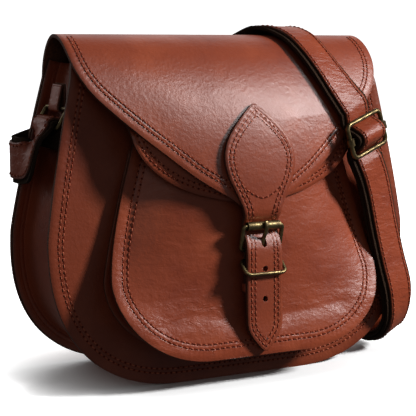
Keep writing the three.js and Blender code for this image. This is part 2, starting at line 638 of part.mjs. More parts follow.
// Band: a short leather bridge over the front of the chape, its ends tucked behind it
const bandOutline = new THREE.Shape();
bandOutline.moveTo(-BAND.outerHalf, BAND.back);
bandOutline.lineTo(-BAND.outerHalf, BAND.front);
bandOutline.lineTo(BAND.outerHalf, BAND.front);
bandOutline.lineTo(BAND.outerHalf, BAND.back);
bandOutline.lineTo(BAND.outerHalf - BAND.thick, BAND.back);
bandOutline.lineTo(BAND.outerHalf - BAND.thick, BAND.front + BAND.thick);
bandOutline.lineTo(BAND.thick - BAND.outerHalf, BAND.front + BAND.thick);
bandOutline.lineTo(BAND.thick - BAND.outerHalf, BAND.back);
const band = new THREE.ExtrudeGeometry(bandOutline, { depth: BAND.high - BAND.low, bevelEnabled: false });
band.translate(0, 0, BAND.low);
addPiece('chape_band', band, BROWN_LEATHER);

// Keeper loop round the tab, its back bar held between the plies of the chape
const keeperBack = new THREE.Vector3(0, KEEPER.backY, KEEPER.backZ);
const keeperFront = new THREE.Vector3(0, KEEPER.frontY, KEEPER.frontZ);
const keeperRun = keeperFront.clone().sub(keeperBack);
const keeperMiddle = keeperBack.clone().add(keeperFront).multiplyScalar(0.5);
const keeperHalf = keeperRun.length() / 2;
keeperRun.normalize();
addPiece('keeper_loop', wireLoop(keeperMiddle, X_AXIS, keeperRun, KEEPER.half, keeperHalf, KEEPER.corner,
  KEEPER.wire, BUCKLE_PARTS, WIRE_SIDES), AGED_BRASS);

// Rings: the high bar is held by a leather tab on the gusset, the low bar carries the strap
const Y_AXIS = new THREE.Vector3(0, 1, 0);
function ringPlace(ring, side) {
  const tilt = THREE.MathUtils.degToRad(RING.tilt);
  const high = new THREE.Vector3(ring.x, ring.y, ring.z);
  const fall = new THREE.Vector3(side * Math.sin(tilt), 0, -Math.cos(tilt));
  const low = high.clone().addScaledVector(fall, RING.drop);
  return { high, low, fall };
}
function addRing(name, ring, side) {
  const { high, low, fall } = ringPlace(ring, side);
  const middle = high.clone().add(low).multiplyScalar(0.5);
  addPiece(`ring_${name}`, wireLoop(middle, Y_AXIS, fall, RING.half, RING.drop / 2, RING.corner,
    RING.wire, RING_PARTS, WIRE_SIDES), AGED_BRASS);
  const fold = RING.wire + GAP;
  const slant = fold * Math.SQRT1_2;
  const away = (out, up, faceX, faceZ) => ({
    place: new THREE.Vector3(high.x + side * out, high.y, high.z + up),
    face: new THREE.Vector3(side * faceX, 0, faceZ),
  });
  const route = [
    away(-fold, RING_TAB.rise, -1, 0),
    away(-fold, 0, -1, 0),
    away(-slant, -slant, -1, -1),
    away(0, -fold, 0, -1),
    away(slant, -slant, 1, -1),
    away(fold, 0, 1, 0),
    away(RING_TAB.frontOut, RING_TAB.frontTurn, 1, 0),
    away(GAP - fold, RING_TAB.frontRise, 1, 0),
  ];
  const strip = ribbon(routeFrames(route, FOLD_STEPS), RING_TAB.half, 0, RING_TAB.thick);
  addPiece(`ring_tab_${name}`, strip, BROWN_LEATHER);
}
addRing('left', RING_LEFT, -1);
addRing('right', RING_RIGHT, 1);

// Strap route in full
const rowOf = ({ x, y, z, fx, fy, fz }) => ({
  place: new THREE.Vector3(x, y, z),
  face: new THREE.Vector3(fx, fy, fz),
});
const inSlide = ({ down, out }) => ({
  place: SLIDE_MIDDLE.clone().addScaledVector(SLIDE_DOWN, down).addScaledVector(SLIDE_OUT, out),
  face: SLIDE_OUT.clone(),
});
// Strap folded over the low bar of a ring, from one side to the other
function overBar(low, side, angles) {
  const radius = RING.wire + GAP + WEB_THICK + BEND_SLACK;
  return angles.map((degrees) => {
    const angle = THREE.MathUtils.degToRad(degrees);
    const face = new THREE.Vector3(side * Math.cos(angle), 0, Math.sin(angle));
    return { place: low.clone().addScaledVector(face, radius), face };
  });
}
const leftLow = ringPlace(RING_LEFT, -1).low;
const rightLow = ringPlace(RING_RIGHT, 1).low;
const leftEnd = STRAP_LEFT_END.map(({ toward, down }) => ({
  place: leftLow.clone().add(new THREE.Vector3(toward, 0, -down)),
  face: X_AXIS.clone(),
}));
const leftFold = overBar(leftLow, -1, FOLD_ANGLES).reverse();
const toSlide = [...leftEnd, ...leftFold, ...STRAP_OVER.map(rowOf)];
const outward = [...toSlide, ...STRAP_IN_SLIDE.map(inSlide), ...STRAP_DROP.map(rowOf)];
const dropStart = outward.length - STRAP_DROP.length - STRAP_BELOW_SLIDE;
const dropEnd = outward.length - 1;
outward.push(...overBar(rightLow, 1, FOLD_ANGLES));
const outwardFrames = routeFrames(outward, STRAP_STEPS);
// The return ply lies against the first one, webbing to webbing, and ends behind the slide's bar
const returnFrames = outwardFrames.slice(dropStart * STRAP_STEPS, dropEnd * STRAP_STEPS + 1).reverse();
const returnPly = returnFrames.map(({ place, across, normal }) => ({
  place: place.clone().addScaledVector(normal, -PLY_STEP),
  across,
  normal: normal.clone().negate(),
}));
const tailRoute = STRAP_TAIL.map(inSlide).map(({ place, face }) => ({ place, face: face.negate() }));
const tailFrames = routeFrames(tailRoute, STRAP_STEPS).slice(1);
const strapFrames = [...outwardFrames, ...returnPly, ...tailFrames];
const leatherOuter = STRAP_SEAM + STRAP_LEATHER;
addPiece('strap_webbing', ribbon(strapFrames, WEB_HALF, -WEB_THICK, 0), DARK_WEBBING);
addPiece('strap_leather', ribbon(strapFrames, STRAP_LEATHER_HALF, STRAP_SEAM, leatherOuter), BROWN_LEATHER);

// Slide: wire frame, and a loose bar with eyes round the frame's sides
addPiece('slide_frame', wireLoop(SLIDE_MIDDLE, SLIDE_ACROSS, SLIDE_DOWN, SLIDE.half, SLIDE.rise, SLIDE.corner,
  SLIDE.wire, BUCKLE_PARTS, WIRE_SIDES), AGED_BRASS);
const barEnd = (side) => SLIDE_MIDDLE.clone().addScaledVector(SLIDE_ACROSS, side * SLIDE.half);
let slideBar = solid(rod(barEnd(-1), barEnd(1), SLIDE.bar, ROD_SIDES));
[-1, 1].forEach((side) => {
  const high = barEnd(side).addScaledVector(SLIDE_DOWN, -SLIDE.eyeHalf);
  const low = barEnd(side).addScaledVector(SLIDE_DOWN, SLIDE.eyeHalf);
  slideBar = slideBar.add(solid(rod(high, low, SLIDE.eye, ROD_SIDES)));
});
[-1, 1].forEach((side) => {
  const high = barEnd(side).addScaledVector(SLIDE_DOWN, -SLIDE.rise);
  const low = barEnd(side).addScaledVector(SLIDE_DOWN, SLIDE.rise);
  slideBar = slideBar.subtract(solid(rod(high, low, SLIDE.wire + GAP, ROD_SIDES)));
});
addPiece('slide_bar', fromSolid(slideBar), AGED_BRASS);

// The origin lies on the floor under the middle of the bag's outline
const bounds = new THREE.Box3().setFromObject(bag);
const middle = bounds.getCenter(new THREE.Vector3());
bag.children.forEach((piece) => piece.geometry.translate(-middle.x, -middle.y, -bounds.min.z));

export default bag;
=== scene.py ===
# Leather crossbody bag with a buckled flap, an outer pocket and a shoulder strap.
# Sizes are in mm from the middle of the bag's foot; place() turns them to metres in the frame.
import math

import bmesh
import bpy
from mathutils import Matrix, Vector, kdtree, noise


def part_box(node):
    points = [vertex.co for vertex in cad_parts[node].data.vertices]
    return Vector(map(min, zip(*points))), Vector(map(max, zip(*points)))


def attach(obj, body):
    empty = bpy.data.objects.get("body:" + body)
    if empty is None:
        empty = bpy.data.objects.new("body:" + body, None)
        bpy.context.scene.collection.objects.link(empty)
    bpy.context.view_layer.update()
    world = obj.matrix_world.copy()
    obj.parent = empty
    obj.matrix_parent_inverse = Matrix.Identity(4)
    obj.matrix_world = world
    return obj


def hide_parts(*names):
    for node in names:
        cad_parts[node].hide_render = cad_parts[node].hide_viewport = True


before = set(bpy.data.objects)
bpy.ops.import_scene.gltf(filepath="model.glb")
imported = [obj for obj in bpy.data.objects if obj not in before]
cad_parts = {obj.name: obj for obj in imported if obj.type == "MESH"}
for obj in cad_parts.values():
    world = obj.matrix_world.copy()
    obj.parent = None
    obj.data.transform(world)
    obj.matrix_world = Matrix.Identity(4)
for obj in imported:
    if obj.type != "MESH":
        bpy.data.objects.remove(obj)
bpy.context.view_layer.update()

# Front panel: the cowhide front of the bag, flat and leaning back, cut with a round foot.
# Its border is sewn to the gusset's flange with a double row, and the cut edge shows.
MM = 0.001
BODY = dict(flat=40, widest=132, bottom=0, shoulder=92, top=206, top_half=109.5, taper=1.2, round=2.4)
FRONT = dict(foot=-39, lean=0.1, top=202, curl_high=16, curl_back=4.2, curl_power=1.6)
BACK = dict(foot=39, lean=-0.073)
LEATHER = 2.0
CUT_CORNER = 0.4
FRONT_ROWS = (6.6, 9.4)
STITCH = dict(pitch=3.8, length=2.7, radius=0.52, lift=0.1)
# Size of the dark disc at each needle hole: painted shade in place of a real hole.
HOLE_SHADE_DISC = dict(radius=0.8, high=0.16, lift=0.02)
BORDER_SPAN = 16.0
FRONT_WAVE = dict(out=0.35, wide=46, layer=3.0, tall=60)
HIDE = dict(cloud=48, pebble=2.4, pebble_deep=0.35, fold_deep=1.4, seam_deep=0.9, burnished=2.0)
SHARP_EDGE = 55
SEWN_STEPS = 90
front_low, front_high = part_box("front_panel")
BAG_X = (front_low.x + front_high.x) / 2
BAG_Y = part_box("back_and_flap")[1].y - BACK["foot"] * MM


def place(x, y, z):
    """A point of the bag, given in mm from the middle of its foot"""
    return Vector((BAG_X + x * MM, BAG_Y + y * MM, z * MM))


def linear(hex_colour):
    """An sRGB hex colour as linear red, green, blue and alpha"""
    parts = [int(hex_colour[k:k + 2], 16) / 255 for k in (1, 3, 5)]
    return [c / 12.92 if c <= 0.04045 else ((c + 0.055) / 1.055) ** 2.4 for c in parts] + [1.0]


def add(tree, kind, links=None, stops=None, **settings):
    """Adds a node with its settings, its inputs as values or other nodes' outputs, and ramp stops"""
    node = tree.nodes.new(kind)
    for name, value in settings.items():
        setattr(node, name, value)
    for name, value in (links or {}).items():
        if isinstance(value, bpy.types.NodeSocket):
            tree.links.new(value, node.inputs[name])
        else:
            node.inputs[name].default_value = value
    for k, (position, colour) in enumerate(stops or []):
        elements = node.color_ramp.elements
        element = elements[k] if k < 2 else elements.new(position)
        element.position = position
        element.color = colour
    if stops:
        node.color_ramp.interpolation = "EASE"
    return node


def new_material(name):
    """An empty material with its shader and output"""
    material = bpy.data.materials.new(name)
    material.use_nodes = True
    tree = material.node_tree
    tree.nodes.clear()
    shader = add(tree, "ShaderNodeBsdfPrincipled")
    output = add(tree, "ShaderNodeOutputMaterial", {"Surface": shader.outputs["BSDF"]})
    output.is_active_output = True
    return material, tree, shader


def cowhide(name, border, wrinkles=(13, 13, 9), painted_shade=1.0):
    """Chestnut cowhide, drum dyed and polished: it shows a soft broad gloss, cloudy colour, a fine
    pebbled grain and shallow wrinkles, which gather where wear is marked. The border is pressed in
    along the sewn rows and puckers a little between the stitches. Wrinkles have their sizes in mm
    along x, y and z."""
    material, tree, shader = new_material(name)
    where = add(tree, "ShaderNodeTexCoord").outputs["Object"]
    clouds = add(tree, "ShaderNodeTexNoise", {"Vector": where, "Scale": 1 / (HIDE["cloud"] * MM),
                                              "Detail": 4.0, "Roughness": 0.6})
    dye = add(tree, "ShaderNodeValToRGB", {"Fac": clouds.outputs["Fac"]}, stops=[
        # The shade factor darkens the whole dye: painted shade for a piece that stands in shadow, 1 for the
        # rest.
        (at, [part * painted_shade for part in linear(tone)])
        for at, tone in ((0.3, "#712d19"), (0.7, "#8b4026"), (0.5, "#7e361e"))])
    pebbles = add(tree, "ShaderNodeTexNoise", {"Vector": where, "Scale": 1 / (HIDE["pebble"] * MM),
                                               "Detail": 3.0, "Roughness": 0.6})
    stretch = add(tree, "ShaderNodeVectorMath", {0: where, 1: [1 / (size * MM) for size in wrinkles]},
                  operation="MULTIPLY")
    folds = add(tree, "ShaderNodeTexNoise", {"Vector": stretch.outputs[0], "Scale": 1.0, "Detail": 5.0,
                                             "Roughness": 0.55, "Distortion": 0.5})
    wear = add(tree, "ShaderNodeAttribute", attribute_name="wear").outputs["Fac"]
    depth = add(tree, "ShaderNodeMapRange", {"Value": wear, "To Min": 0.22, "To Max": 0.75})
    edge = add(tree, "ShaderNodeAttribute", attribute_name="edge_mm").outputs["Fac"]
    along = add(tree, "ShaderNodeAttribute", attribute_name="along_mm").outputs["Fac"]
    inset = add(tree, "ShaderNodeMath", {0: edge, 1: BORDER_SPAN}, operation="DIVIDE")
    pressed = add(tree, "ShaderNodeValToRGB", {"Fac": inset.outputs[0]}, stops=[
        (at / BORDER_SPAN, (height, height, height, pucker)) for at, height, pucker in border])
    turn = add(tree, "ShaderNodeMath", {0: along, 1: 2 * math.pi / STITCH["pitch"]}, operation="MULTIPLY")
    wave = add(tree, "ShaderNodeMath", {0: turn.outputs[0]}, operation="SINE")
    pucker = add(tree, "ShaderNodeMath", {0: wave.outputs[0], 1: pressed.outputs["Alpha"]},
                 operation="MULTIPLY")
    relief = add(tree, "ShaderNodeMath", {0: pucker.outputs[0], 1: 0.05, 2: pressed.outputs["Color"]},
                 operation="MULTIPLY_ADD")
    burnish = add(tree, "ShaderNodeMapRange", {"Value": edge, "From Max": HIDE["burnished"],
                                               "To Min": 0.75, "To Max": 1.0})
    colour = add(tree, "ShaderNodeMix", {"A": dye.outputs["Color"], "B": burnish.outputs[0], "Factor": 1.0},
                 data_type="RGBA", blend_type="MULTIPLY")
    grain = add(tree, "ShaderNodeBump", {"Height": pebbles.outputs["Fac"], "Strength": 0.6,
                                         "Distance": HIDE["pebble_deep"] * MM})
    wrinkled = add(tree, "ShaderNodeBump", {"Height": folds.outputs["Fac"], "Strength": depth.outputs[0],
                                            "Distance": HIDE["fold_deep"] * MM,
                                            "Normal": grain.outputs[0]})
    sewn = add(tree, "ShaderNodeBump", {"Height": relief.outputs[0], "Strength": 0.8,
                                        "Distance": HIDE["seam_deep"] * MM, "Normal": wrinkled.outputs[0]})
    gloss = add(tree, "ShaderNodeMapRange", {"Value": clouds.outputs["Fac"], "From Min": 0.3,
                                             "From Max": 0.7, "To Min": 0.44, "To Max": 0.36})
    tree.links.new(colour.outputs["Result"], shader.inputs["Base Color"])
    tree.links.new(gloss.outputs[0], shader.inputs["Roughness"])
    tree.links.new(sewn.outputs[0], shader.inputs["Normal"])
    shader.inputs["IOR"].default_value = 1.47
    return material


def sewn_border(rows):
    """Stops of a pressed border: place in mm from the cut edge, height, and strength of the puckers"""
    first, last = rows[0], rows[-1]
    stops = [(0.0, 0.4, 0.0), (BORDER_SPAN, 0.6, 0.0), (first * 0.5, 0.74, 0.3), (first - 0.9, 0.66, 1.0)]
    stops += [(row, 0.45, 1.0) for row in rows]
    stops += [((a + b) / 2, 0.68, 0.8) for a, b in zip(rows, rows[1:])]
    return stops + [(last + 1.0, 0.6, 0.8), (last + 2.6, 0.6, 0.0)]


def mottled(name, size, tones, roughness, specular, detail=2.0, relief=0.0):
    """A dull material in two tones, in patches of a size in mm, which stand up by the relief in mm"""
    material, tree, shader = new_material(name)
    where = add(tree, "ShaderNodeTexCoord").outputs["Object"]
    patches = add(tree, "ShaderNodeTexNoise", {"Vector": where, "Scale": 1 / (size * MM), "Detail": detail})
    tone = add(tree, "ShaderNodeValToRGB", {"Fac": patches.outputs["Fac"]},
               stops=[(at, linear(colour)) for at, colour in tones])
    tree.links.new(tone.outputs["Color"], shader.inputs["Base Color"])
    if relief:
        rough = add(tree, "ShaderNodeBump", {"Height": patches.outputs["Fac"], "Strength": 0.5,
                                             "Distance": relief * MM})
        tree.links.new(rough.outputs[0], shader.inputs["Normal"])
    shader.inputs["Roughness"].default_value = roughness
    shader.inputs["Specular IOR Level"].default_value = specular
    return material


def flesh_side_material():
    """Flesh side of the hide: dark brown suede with a short loose nap and no shine"""
    return mottled("leather_flesh_side", 1.4, ((0.3, "#3b2017"), (0.7, "#54301f")), roughness=0.9,
                   specular=0.2, detail=4.0, relief=0.3)


def raw_edge_material():
    """Cut edge of the cowhide: dull fibres, stained dark and a little rough"""
    return mottled("cut_leather_edge", 0.7, ((0.3, "#3a2118"), (0.7, "#5e3c30")), roughness=0.6,
                   specular=0.2, detail=3.0, relief=0.2)


def thread_material():
    """Waxed polyester thread in the leather's brown: a small soft shine on each stitch"""
    return mottled("waxed_thread", 6, ((0.35, "#84402d"), (0.65, "#9c543d")), roughness=0.6, specular=0.2)


def painted_hole_shade_material():
    """Needle hole: painted shade, a dark disc standing in for the shadowed inside of a pricked hole with
    its crushed rim
    """
    return mottled("needle_hole", 3, ((0.3, "#48170d"), (0.7, "#602113")), roughness=0.9, specular=0.1)


def measure_border(bm):
    """Marks each vertex with its distance from the cut edge and the nearest place along it, in mm"""
    edge_mm = bm.verts.layers.float.new("edge_mm")
    along_mm = bm.verts.layers.float.new("along_mm")
    edge = next(edge for edge in bm.edges if edge.is_boundary)
    order, vert = [edge.verts[0]], edge.verts[1]
    while vert is not order[0]:
        order.append(vert)
        edge = next(e for e in vert.link_edges if e.is_boundary and e is not edge)
        vert = edge.other_vert(vert)
    parts = 4
    tree = kdtree.KDTree(len(order) * parts)
    travelled = []
    length = 0.0
    for a, b in zip(order, order[1:] + order[:1]):
        for k in range(parts):
            tree.insert(a.co.lerp(b.co, k / parts), len(travelled))
            travelled.append(length + (b.co - a.co).length * k / parts)
        length += (b.co - a.co).length
    tree.balance()
    for vert in bm.verts:
        _, index, distance = tree.find(vert.co)
        vert[edge_mm] = distance / MM
        vert[along_mm] = travelled[index] / MM


def mark_wear(bm, amount):
    """Marks how creased the leather is at each vertex, from 0 to 1, by its place in mm"""
    wear = bm.verts.layers.float.new("wear")
    for vert in bm.verts:
        vert[wear] = amount((vert.co.x - BAG_X) / MM, vert.co.z / MM)


def leather_sheet(point, across, along, thick, proud=False, wear=None):
    """Leather laid over point(u, v), its cut edges rounded; proud leather stands on those points"""
    bm = bmesh.new()
    bmesh.ops.create_grid(bm, x_segments=across, y_segments=along, size=0.5)
    for vert in bm.verts:
        vert.co = point(vert.co.x + 0.5, vert.co.y + 0.5)
    bm.normal_update()
    measure_border(bm)
    if wear:
        mark_wear(bm, wear)
    if proud:
        for vert in bm.verts:
            vert.co += vert.normal * thick * MM
    sewn, rim = len(bm.faces), sum(edge.is_boundary for edge in bm.edges)
    bmesh.ops.solidify(bm, geom=bm.faces[:], thickness=thick * MM)
    bm.faces.ensure_lookup_table()
    cut = set(bm.faces[-rim:])
    for face in cut:
        face.material_index = 1
    for face in bm.faces[sewn:-rim]:
        face.material_index = 2
    corners = [edge for edge in bm.edges if sum(face in cut for face in edge.link_faces) == 1]
    bmesh.ops.bevel(bm, geom=corners, offset=CUT_CORNER * MM, segments=2, profile=0.5, affect="EDGES",
                    material=-1, clamp_overlap=True)
    for vert in bm.verts:
        vert.co.z = max(vert.co.z, 0.0)
    return bm


def bag_piece(name, bm, materials, slot, *nodes):
    """The finished piece: smooth, with its materials, riding on the bag in place of its plain solids"""
    mesh = bpy.data.meshes.new(name)
    bm.to_mesh(mesh)
    bm.free()
    for material in materials:
        mesh.materials.append(material)
    mesh.shade_smooth()
    mesh.set_sharp_from_angle(angle=math.radians(SHARP_EDGE))
    piece = bpy.data.objects.new(name, mesh)
    bpy.context.scene.collection.objects.link(piece)
    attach(piece, "root")
    if nodes:
        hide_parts(*nodes)
    return piece


def leather_piece(name, bm, hide, node):
    """A piece of hide, with its cut edges and its flesh side"""
    return bag_piece(name, bm, [hide, CUT_EDGE, FLESH_SIDE], "leather", node)


def half_width(shape, z):
    """Half width of a panel's outline at a height"""
    if z <= shape["shoulder"]:
        drop = (shape["shoulder"] - z) / (shape["shoulder"] - shape["bottom"])
        reach = max(0.0, 1 - drop ** shape["round"]) ** (1 / shape["round"])
        return shape["flat"] + (shape["widest"] - shape["flat"]) * reach
    rise = (z - shape["shoulder"]) / (shape["top"] - shape["shoulder"])
    return shape["widest"] - (shape["widest"] - shape["top_half"]) * rise ** shape["taper"]


def panel_height(shape, top, v):
    """Height of a row of a panel: the rows lie close in the round corner of the foot"""
    corner = 0.5
    if v < corner:
        turn = math.pi / 2 * v / corner
        return shape["shoulder"] - (shape["shoulder"] - shape["bottom"]) * math.cos(turn)
    return shape["shoulder"] + (top - shape["shoulder"]) * (v - corner) / (1 - corner)


def panel_outline(shape, top, steps):
    """Outline from the left top round the foot to the right top, as (x, z)"""
    heights = [panel_height(shape, top, k / steps) for k in range(steps + 1)]
    left = [(-half_width(shape, z), z) for z in reversed(heights)]
    parts = 40
    foot = [(shape["flat"] * (2 * k / parts - 1), shape["bottom"]) for k in range(1, parts)]
    return left + foot + [(half_width(shape, z), z) for z in heights]


def ripple(wave, x, z):
    """Soft hills of worn leather at a place, in mm"""
    return wave["out"] * noise.noise(Vector((x / wave["wide"], wave["layer"], z / wave["tall"])))


def sewn_line(outline, inset, face_y, side=-1):
    """A sewn row inside an outline, on the front (-1) or back (1): points in metres and normals there"""
    tree = kdtree.KDTree(len(outline))
    for k, (x, z) in enumerate(outline):
        tree.insert((x, 0, z), k)
    tree.balance()
    line = []
    step, too_near = 0.2, 0.95 * inset
    for k, (x, z) in enumerate(outline):
        (x0, z0), (x1, z1) = outline[max(k - 1, 0)], outline[min(k + 1, len(outline) - 1)]
        run = math.hypot(x1 - x0, z1 - z0)
        px, pz = x - inset * (z1 - z0) / run, z + inset * (x1 - x0) / run
        if tree.find((px, 0, pz))[2] < too_near:
            continue
        slope_x = (face_y(px + step, pz) - face_y(px - step, pz)) / (2 * step)
        slope_z = (face_y(px, pz + step) - face_y(px, pz - step)) / (2 * step)
        normal = Vector((slope_x, -1, slope_z)) * -side
        line.append((place(px, face_y(px, pz), pz), normal.normalized()))
    return line


def stitch_places(line, pitch):
    """Evenly spaced places on a sewn line: point, way along and surface normal"""
    places = []
    travelled, due = 0.0, pitch * MM / 2
    for (a, normal_a), (b, normal_b) in zip(line, line[1:]):
        run = (b - a).length
        while run > 0 and due <= travelled + run:
            share = (due - travelled) / run
            normal = normal_a.lerp(normal_b, share).normalized()
            places.append((a.lerp(b, share), (b - a).normalized(), normal))
            due += pitch * MM
        travelled += run
    return places


def stitches(name, lines):
    """Thread stitches along sewn lines, each between two dark discs painted as the shade of pricked needle
    holes
    """
    bm = bmesh.new()
    shapes = ((0.0, STITCH["length"] / 2, STITCH["radius"], STITCH["radius"], STITCH["lift"], 0),
              # The second shape is the needle hole's dark disc, painted shade lying on the surface.
              (0.5, HOLE_SHADE_DISC["radius"], HOLE_SHADE_DISC["radius"], HOLE_SHADE_DISC["high"], HOLE_SHADE_DISC["lift"], 1))
    for line in lines:
        for shift, half, wide, high, lift, slot in shapes:
            for point, way, normal in stitch_places(line, STITCH["pitch"]):
                side = normal.cross(way).normalized()
                middle = point + way * shift * STITCH["pitch"] * MM + normal * lift * MM
                axes = (way * half * MM, side * wide * MM, normal * high * MM)
                matrix = Matrix(axes).transposed().to_4x4()
                matrix.translation = middle
                made = bmesh.ops.create_icosphere(bm, subdivisions=1, radius=1.0, matrix=matrix)
                for face in {face for vert in made["verts"] for face in vert.link_faces}:
                    face.material_index = slot
    return bag_piece(name, bm, [THREAD, PAINTED_HOLE_SHADE], "leather")


def front_plane(z):
    """Face of the front panel at a height: leaning back, and curled in along its top"""
    curl = max(0.0, (z - FRONT["top"] + FRONT["curl_high"]) / FRONT["curl_high"])
    return FRONT["foot"] + FRONT["lean"] * z + FRONT["curl_back"] * curl ** FRONT["curl_power"]


def front_y(x, z):
    """Face of the front panel, a little wavy as worn leather is"""
    return front_plane(z) - ripple(FRONT_WAVE, x, z)


CUT_EDGE = raw_edge_material()
FLESH_SIDE = flesh_side_material()
THREAD = thread_material()
PAINTED_HOLE_SHADE = painted_hole_shade_material()
# The front panel's dye is darkened as painted shade, for the shadow it stands in below the flap and beside
# the pocket.
SHADED_FRONT_HIDE = cowhide("cowhide_front", sewn_border(FRONT_ROWS), painted_shade=0.78)


def front_point(u, v):
    """Place on the front panel, by its shares across and up"""
    z = panel_height(BODY, FRONT["top"], v)
    x = (2 * u - 1) * half_width(BODY, z)
    return place(x, front_y(x, z), z)


leather_piece("front_leather", leather_sheet(front_point, 130, 110, LEATHER), SHADED_FRONT_HIDE, "front_panel")
front_outline = panel_outline(BODY, FRONT["top"], SEWN_STEPS)
stitches("front_stitches", [sewn_line(front_outline, inset, front_y) for inset in FRONT_ROWS])


# Back and flap: one cowhide piece, the flat back folded over the ridge and cut to a pointed flap.
# A double row follows the flap's edge; the back's border is sewn to the gusset like the front's.
FLAP = dict(ridge_y=9, ridge_z=218, centre_z=110, reach=67, sag=14.9, sag_at=100, soft=0.25, sag_power=1.3)
FLAP_BACK = dict(reach=16, centre_z=191)
FLAP_THICK = 2.2
FLAP_ROWS = (5.6, 8.4)
FLAP_TIP_Z = 111
FLAP_WAVE = dict(out=0.5, wide=38, layer=9.0, tall=30)
FLAP_CALM = 20
FLAP_CREASE = dict(z=165, rise=0.06, start=10, full=30, out=0.7, wide=9.0)
FLAP_SEWN = dict(start=0.6, span=87, steps=120)
FLAP_SHARE, RIDGE_SHARE = 0.5, 0.14
FLAP_EDGE = [(111, 11), (118, 20), (125, 32), (132, 43.4), (148, 64.2), (160, 79), (171.6, 92),
             (183, 103), (192, 108.5), (200, 111.4), (208, 112.4), (214, 112.4), (217, 112.2), (218, 112)]


def through(table):
    """Smooth curve through (at, value) pairs, read at any place between the first and the last"""
    rows = sorted(table)

    def slope(k):
        (a, low), (b, high) = rows[max(k - 1, 0)], rows[min(k + 1, len(rows) - 1)]
        return (high - low) / (b - a)

    def read(at):
        at = min(max(at, rows[0][0]), rows[-1][0])
        k = 0
        while k < len(rows) - 2 and rows[k + 1][0] < at:
            k += 1
        (a, low), (b, high) = rows[k], rows[k + 1]
        span = b - a
        t = (at - a) / span
        start = (1 + 2 * t) * (1 - t) ** 2 * low + t * (1 - t) ** 2 * span * slope(k)
        return start + t * t * (3 - 2 * t) * high + t * t * (t - 1) * span * slope(k + 1)

    return read


def both_sides(half, heights):
    """Outline from the left top down to the foot and up to the right top, as (x, z)"""
    return [(-half(z), z) for z in reversed(heights)] + [(half(z), z) for z in heights]


flap_half = through(FLAP_EDGE)


def flap_y(x, z):
    """Outer face of the flap over the front"""
    spread = math.hypot(x / FLAP["sag_at"], FLAP["soft"]) ** FLAP["sag_power"]
    reach = FLAP["reach"] - FLAP["sag"] * (spread - FLAP["soft"] ** FLAP["sag_power"])
    rise = min(max((z - FLAP["centre_z"]) / (FLAP["ridge_z"] - FLAP["centre_z"]), 0), 1)
    return FLAP["ridge_y"] - reach * math.sqrt(1 - rise * rise)


def flap_wave(x, z):
    """Soft hills in the flap's leather and a worn crease across its right, fading out towards its edge"""
    hills = ripple(FLAP_WAVE, x, z)
    off = abs(z - FLAP_CREASE["z"] - FLAP_CREASE["rise"] * x) / FLAP_CREASE["wide"]
    share = min(max((x - FLAP_CREASE["start"]) / (FLAP_CREASE["full"] - FLAP_CREASE["start"]), 0), 1)
    inside = min(1.0, (flap_half(z) - abs(x)) / FLAP_CALM)
    return (hills + FLAP_CREASE["out"] * share * math.exp(-off)) * inside


def back_y(x, z):
    """Outer face of the back, which follows the ridge above the start of the fold"""
    if z <= FLAP_BACK["centre_z"]:
        return BACK["foot"] + BACK["lean"] * z
    rise = (z - FLAP_BACK["centre_z"]) / (FLAP["ridge_z"] - FLAP_BACK["centre_z"])
    return FLAP["ridge_y"] + FLAP_BACK["reach"] * math.sqrt(1 - rise * rise)


def flap_height(turn):
    """Height on the flap's curve, by its turn from 0 at the foot to a quarter circle at the ridge"""
    return FLAP["centre_z"] + (FLAP["ridge_z"] - FLAP["centre_z"]) * math.sin(turn)


def back_and_flap_point(u, v):
    """Place on the flap, then over the ridge and down the back, by its shares across and along"""
    if v < FLAP_SHARE:
        low = math.asin((FLAP_TIP_Z - FLAP["centre_z"]) / (FLAP["ridge_z"] - FLAP["centre_z"]))
        turn = low + (math.pi / 2 - low) * v / FLAP_SHARE
        z = flap_height(turn)
        x = (2 * u - 1) * flap_half(z)
        return place(x, flap_y(x, z) - flap_wave(x, z), z)
    side = half_width(BODY, FLAP_BACK["centre_z"])
    if v < FLAP_SHARE + RIDGE_SHARE:
        turn = math.pi / 2 * (v - FLAP_SHARE) / RIDGE_SHARE
        half = flap_half(FLAP["ridge_z"]) + (side - flap_half(FLAP["ridge_z"])) * math.sin(turn) ** 2
        z = FLAP_BACK["centre_z"] + (FLAP["ridge_z"] - FLAP_BACK["centre_z"]) * math.cos(turn)
        return place((2 * u - 1) * half, FLAP["ridge_y"] + FLAP_BACK["reach"] * math.sin(turn), z)
    z = panel_height(BODY, FLAP_BACK["centre_z"], (1 - v) / (1 - FLAP_SHARE - RIDGE_SHARE))
    x = (2 * u - 1) * half_width(BODY, z)
    return place(x, back_y(x, z), z)


FLAP_HIDE = cowhide("cowhide_flap", sewn_border(FLAP_ROWS), (17, 17, 11))
leather_piece("back_and_flap_leather", leather_sheet(back_and_flap_point, 120, 220, FLAP_THICK),
              FLAP_HIDE, "back_and_flap")
flap_turns = [math.radians(FLAP_SEWN["start"] + FLAP_SEWN["span"] * k / FLAP_SEWN["steps"])
              for k in range(FLAP_SEWN["steps"] + 1)]
flap_outline = both_sides(flap_half, [flap_height(turn) for turn in flap_turns])
back_outline = panel_outline(BODY, FLAP_BACK["centre_z"], SEWN_STEPS)
stitches("flap_stitches", [sewn_line(flap_outline, inset, flap_y) for inset in FLAP_ROWS])
stitches("back_stitches", [sewn_line(back_outline, inset, back_y, side=1) for inset in FRONT_ROWS])


# Gusset: a strip of softer leather round both sides and the bottom, bent out to a flange on each
# side; the flanges are sewn to the borders of the front and the back.
SOFT_LEATHER = 1.5
GAP = 0.3
FLANGE = 9.5
EDGE_SETBACK = 0.6
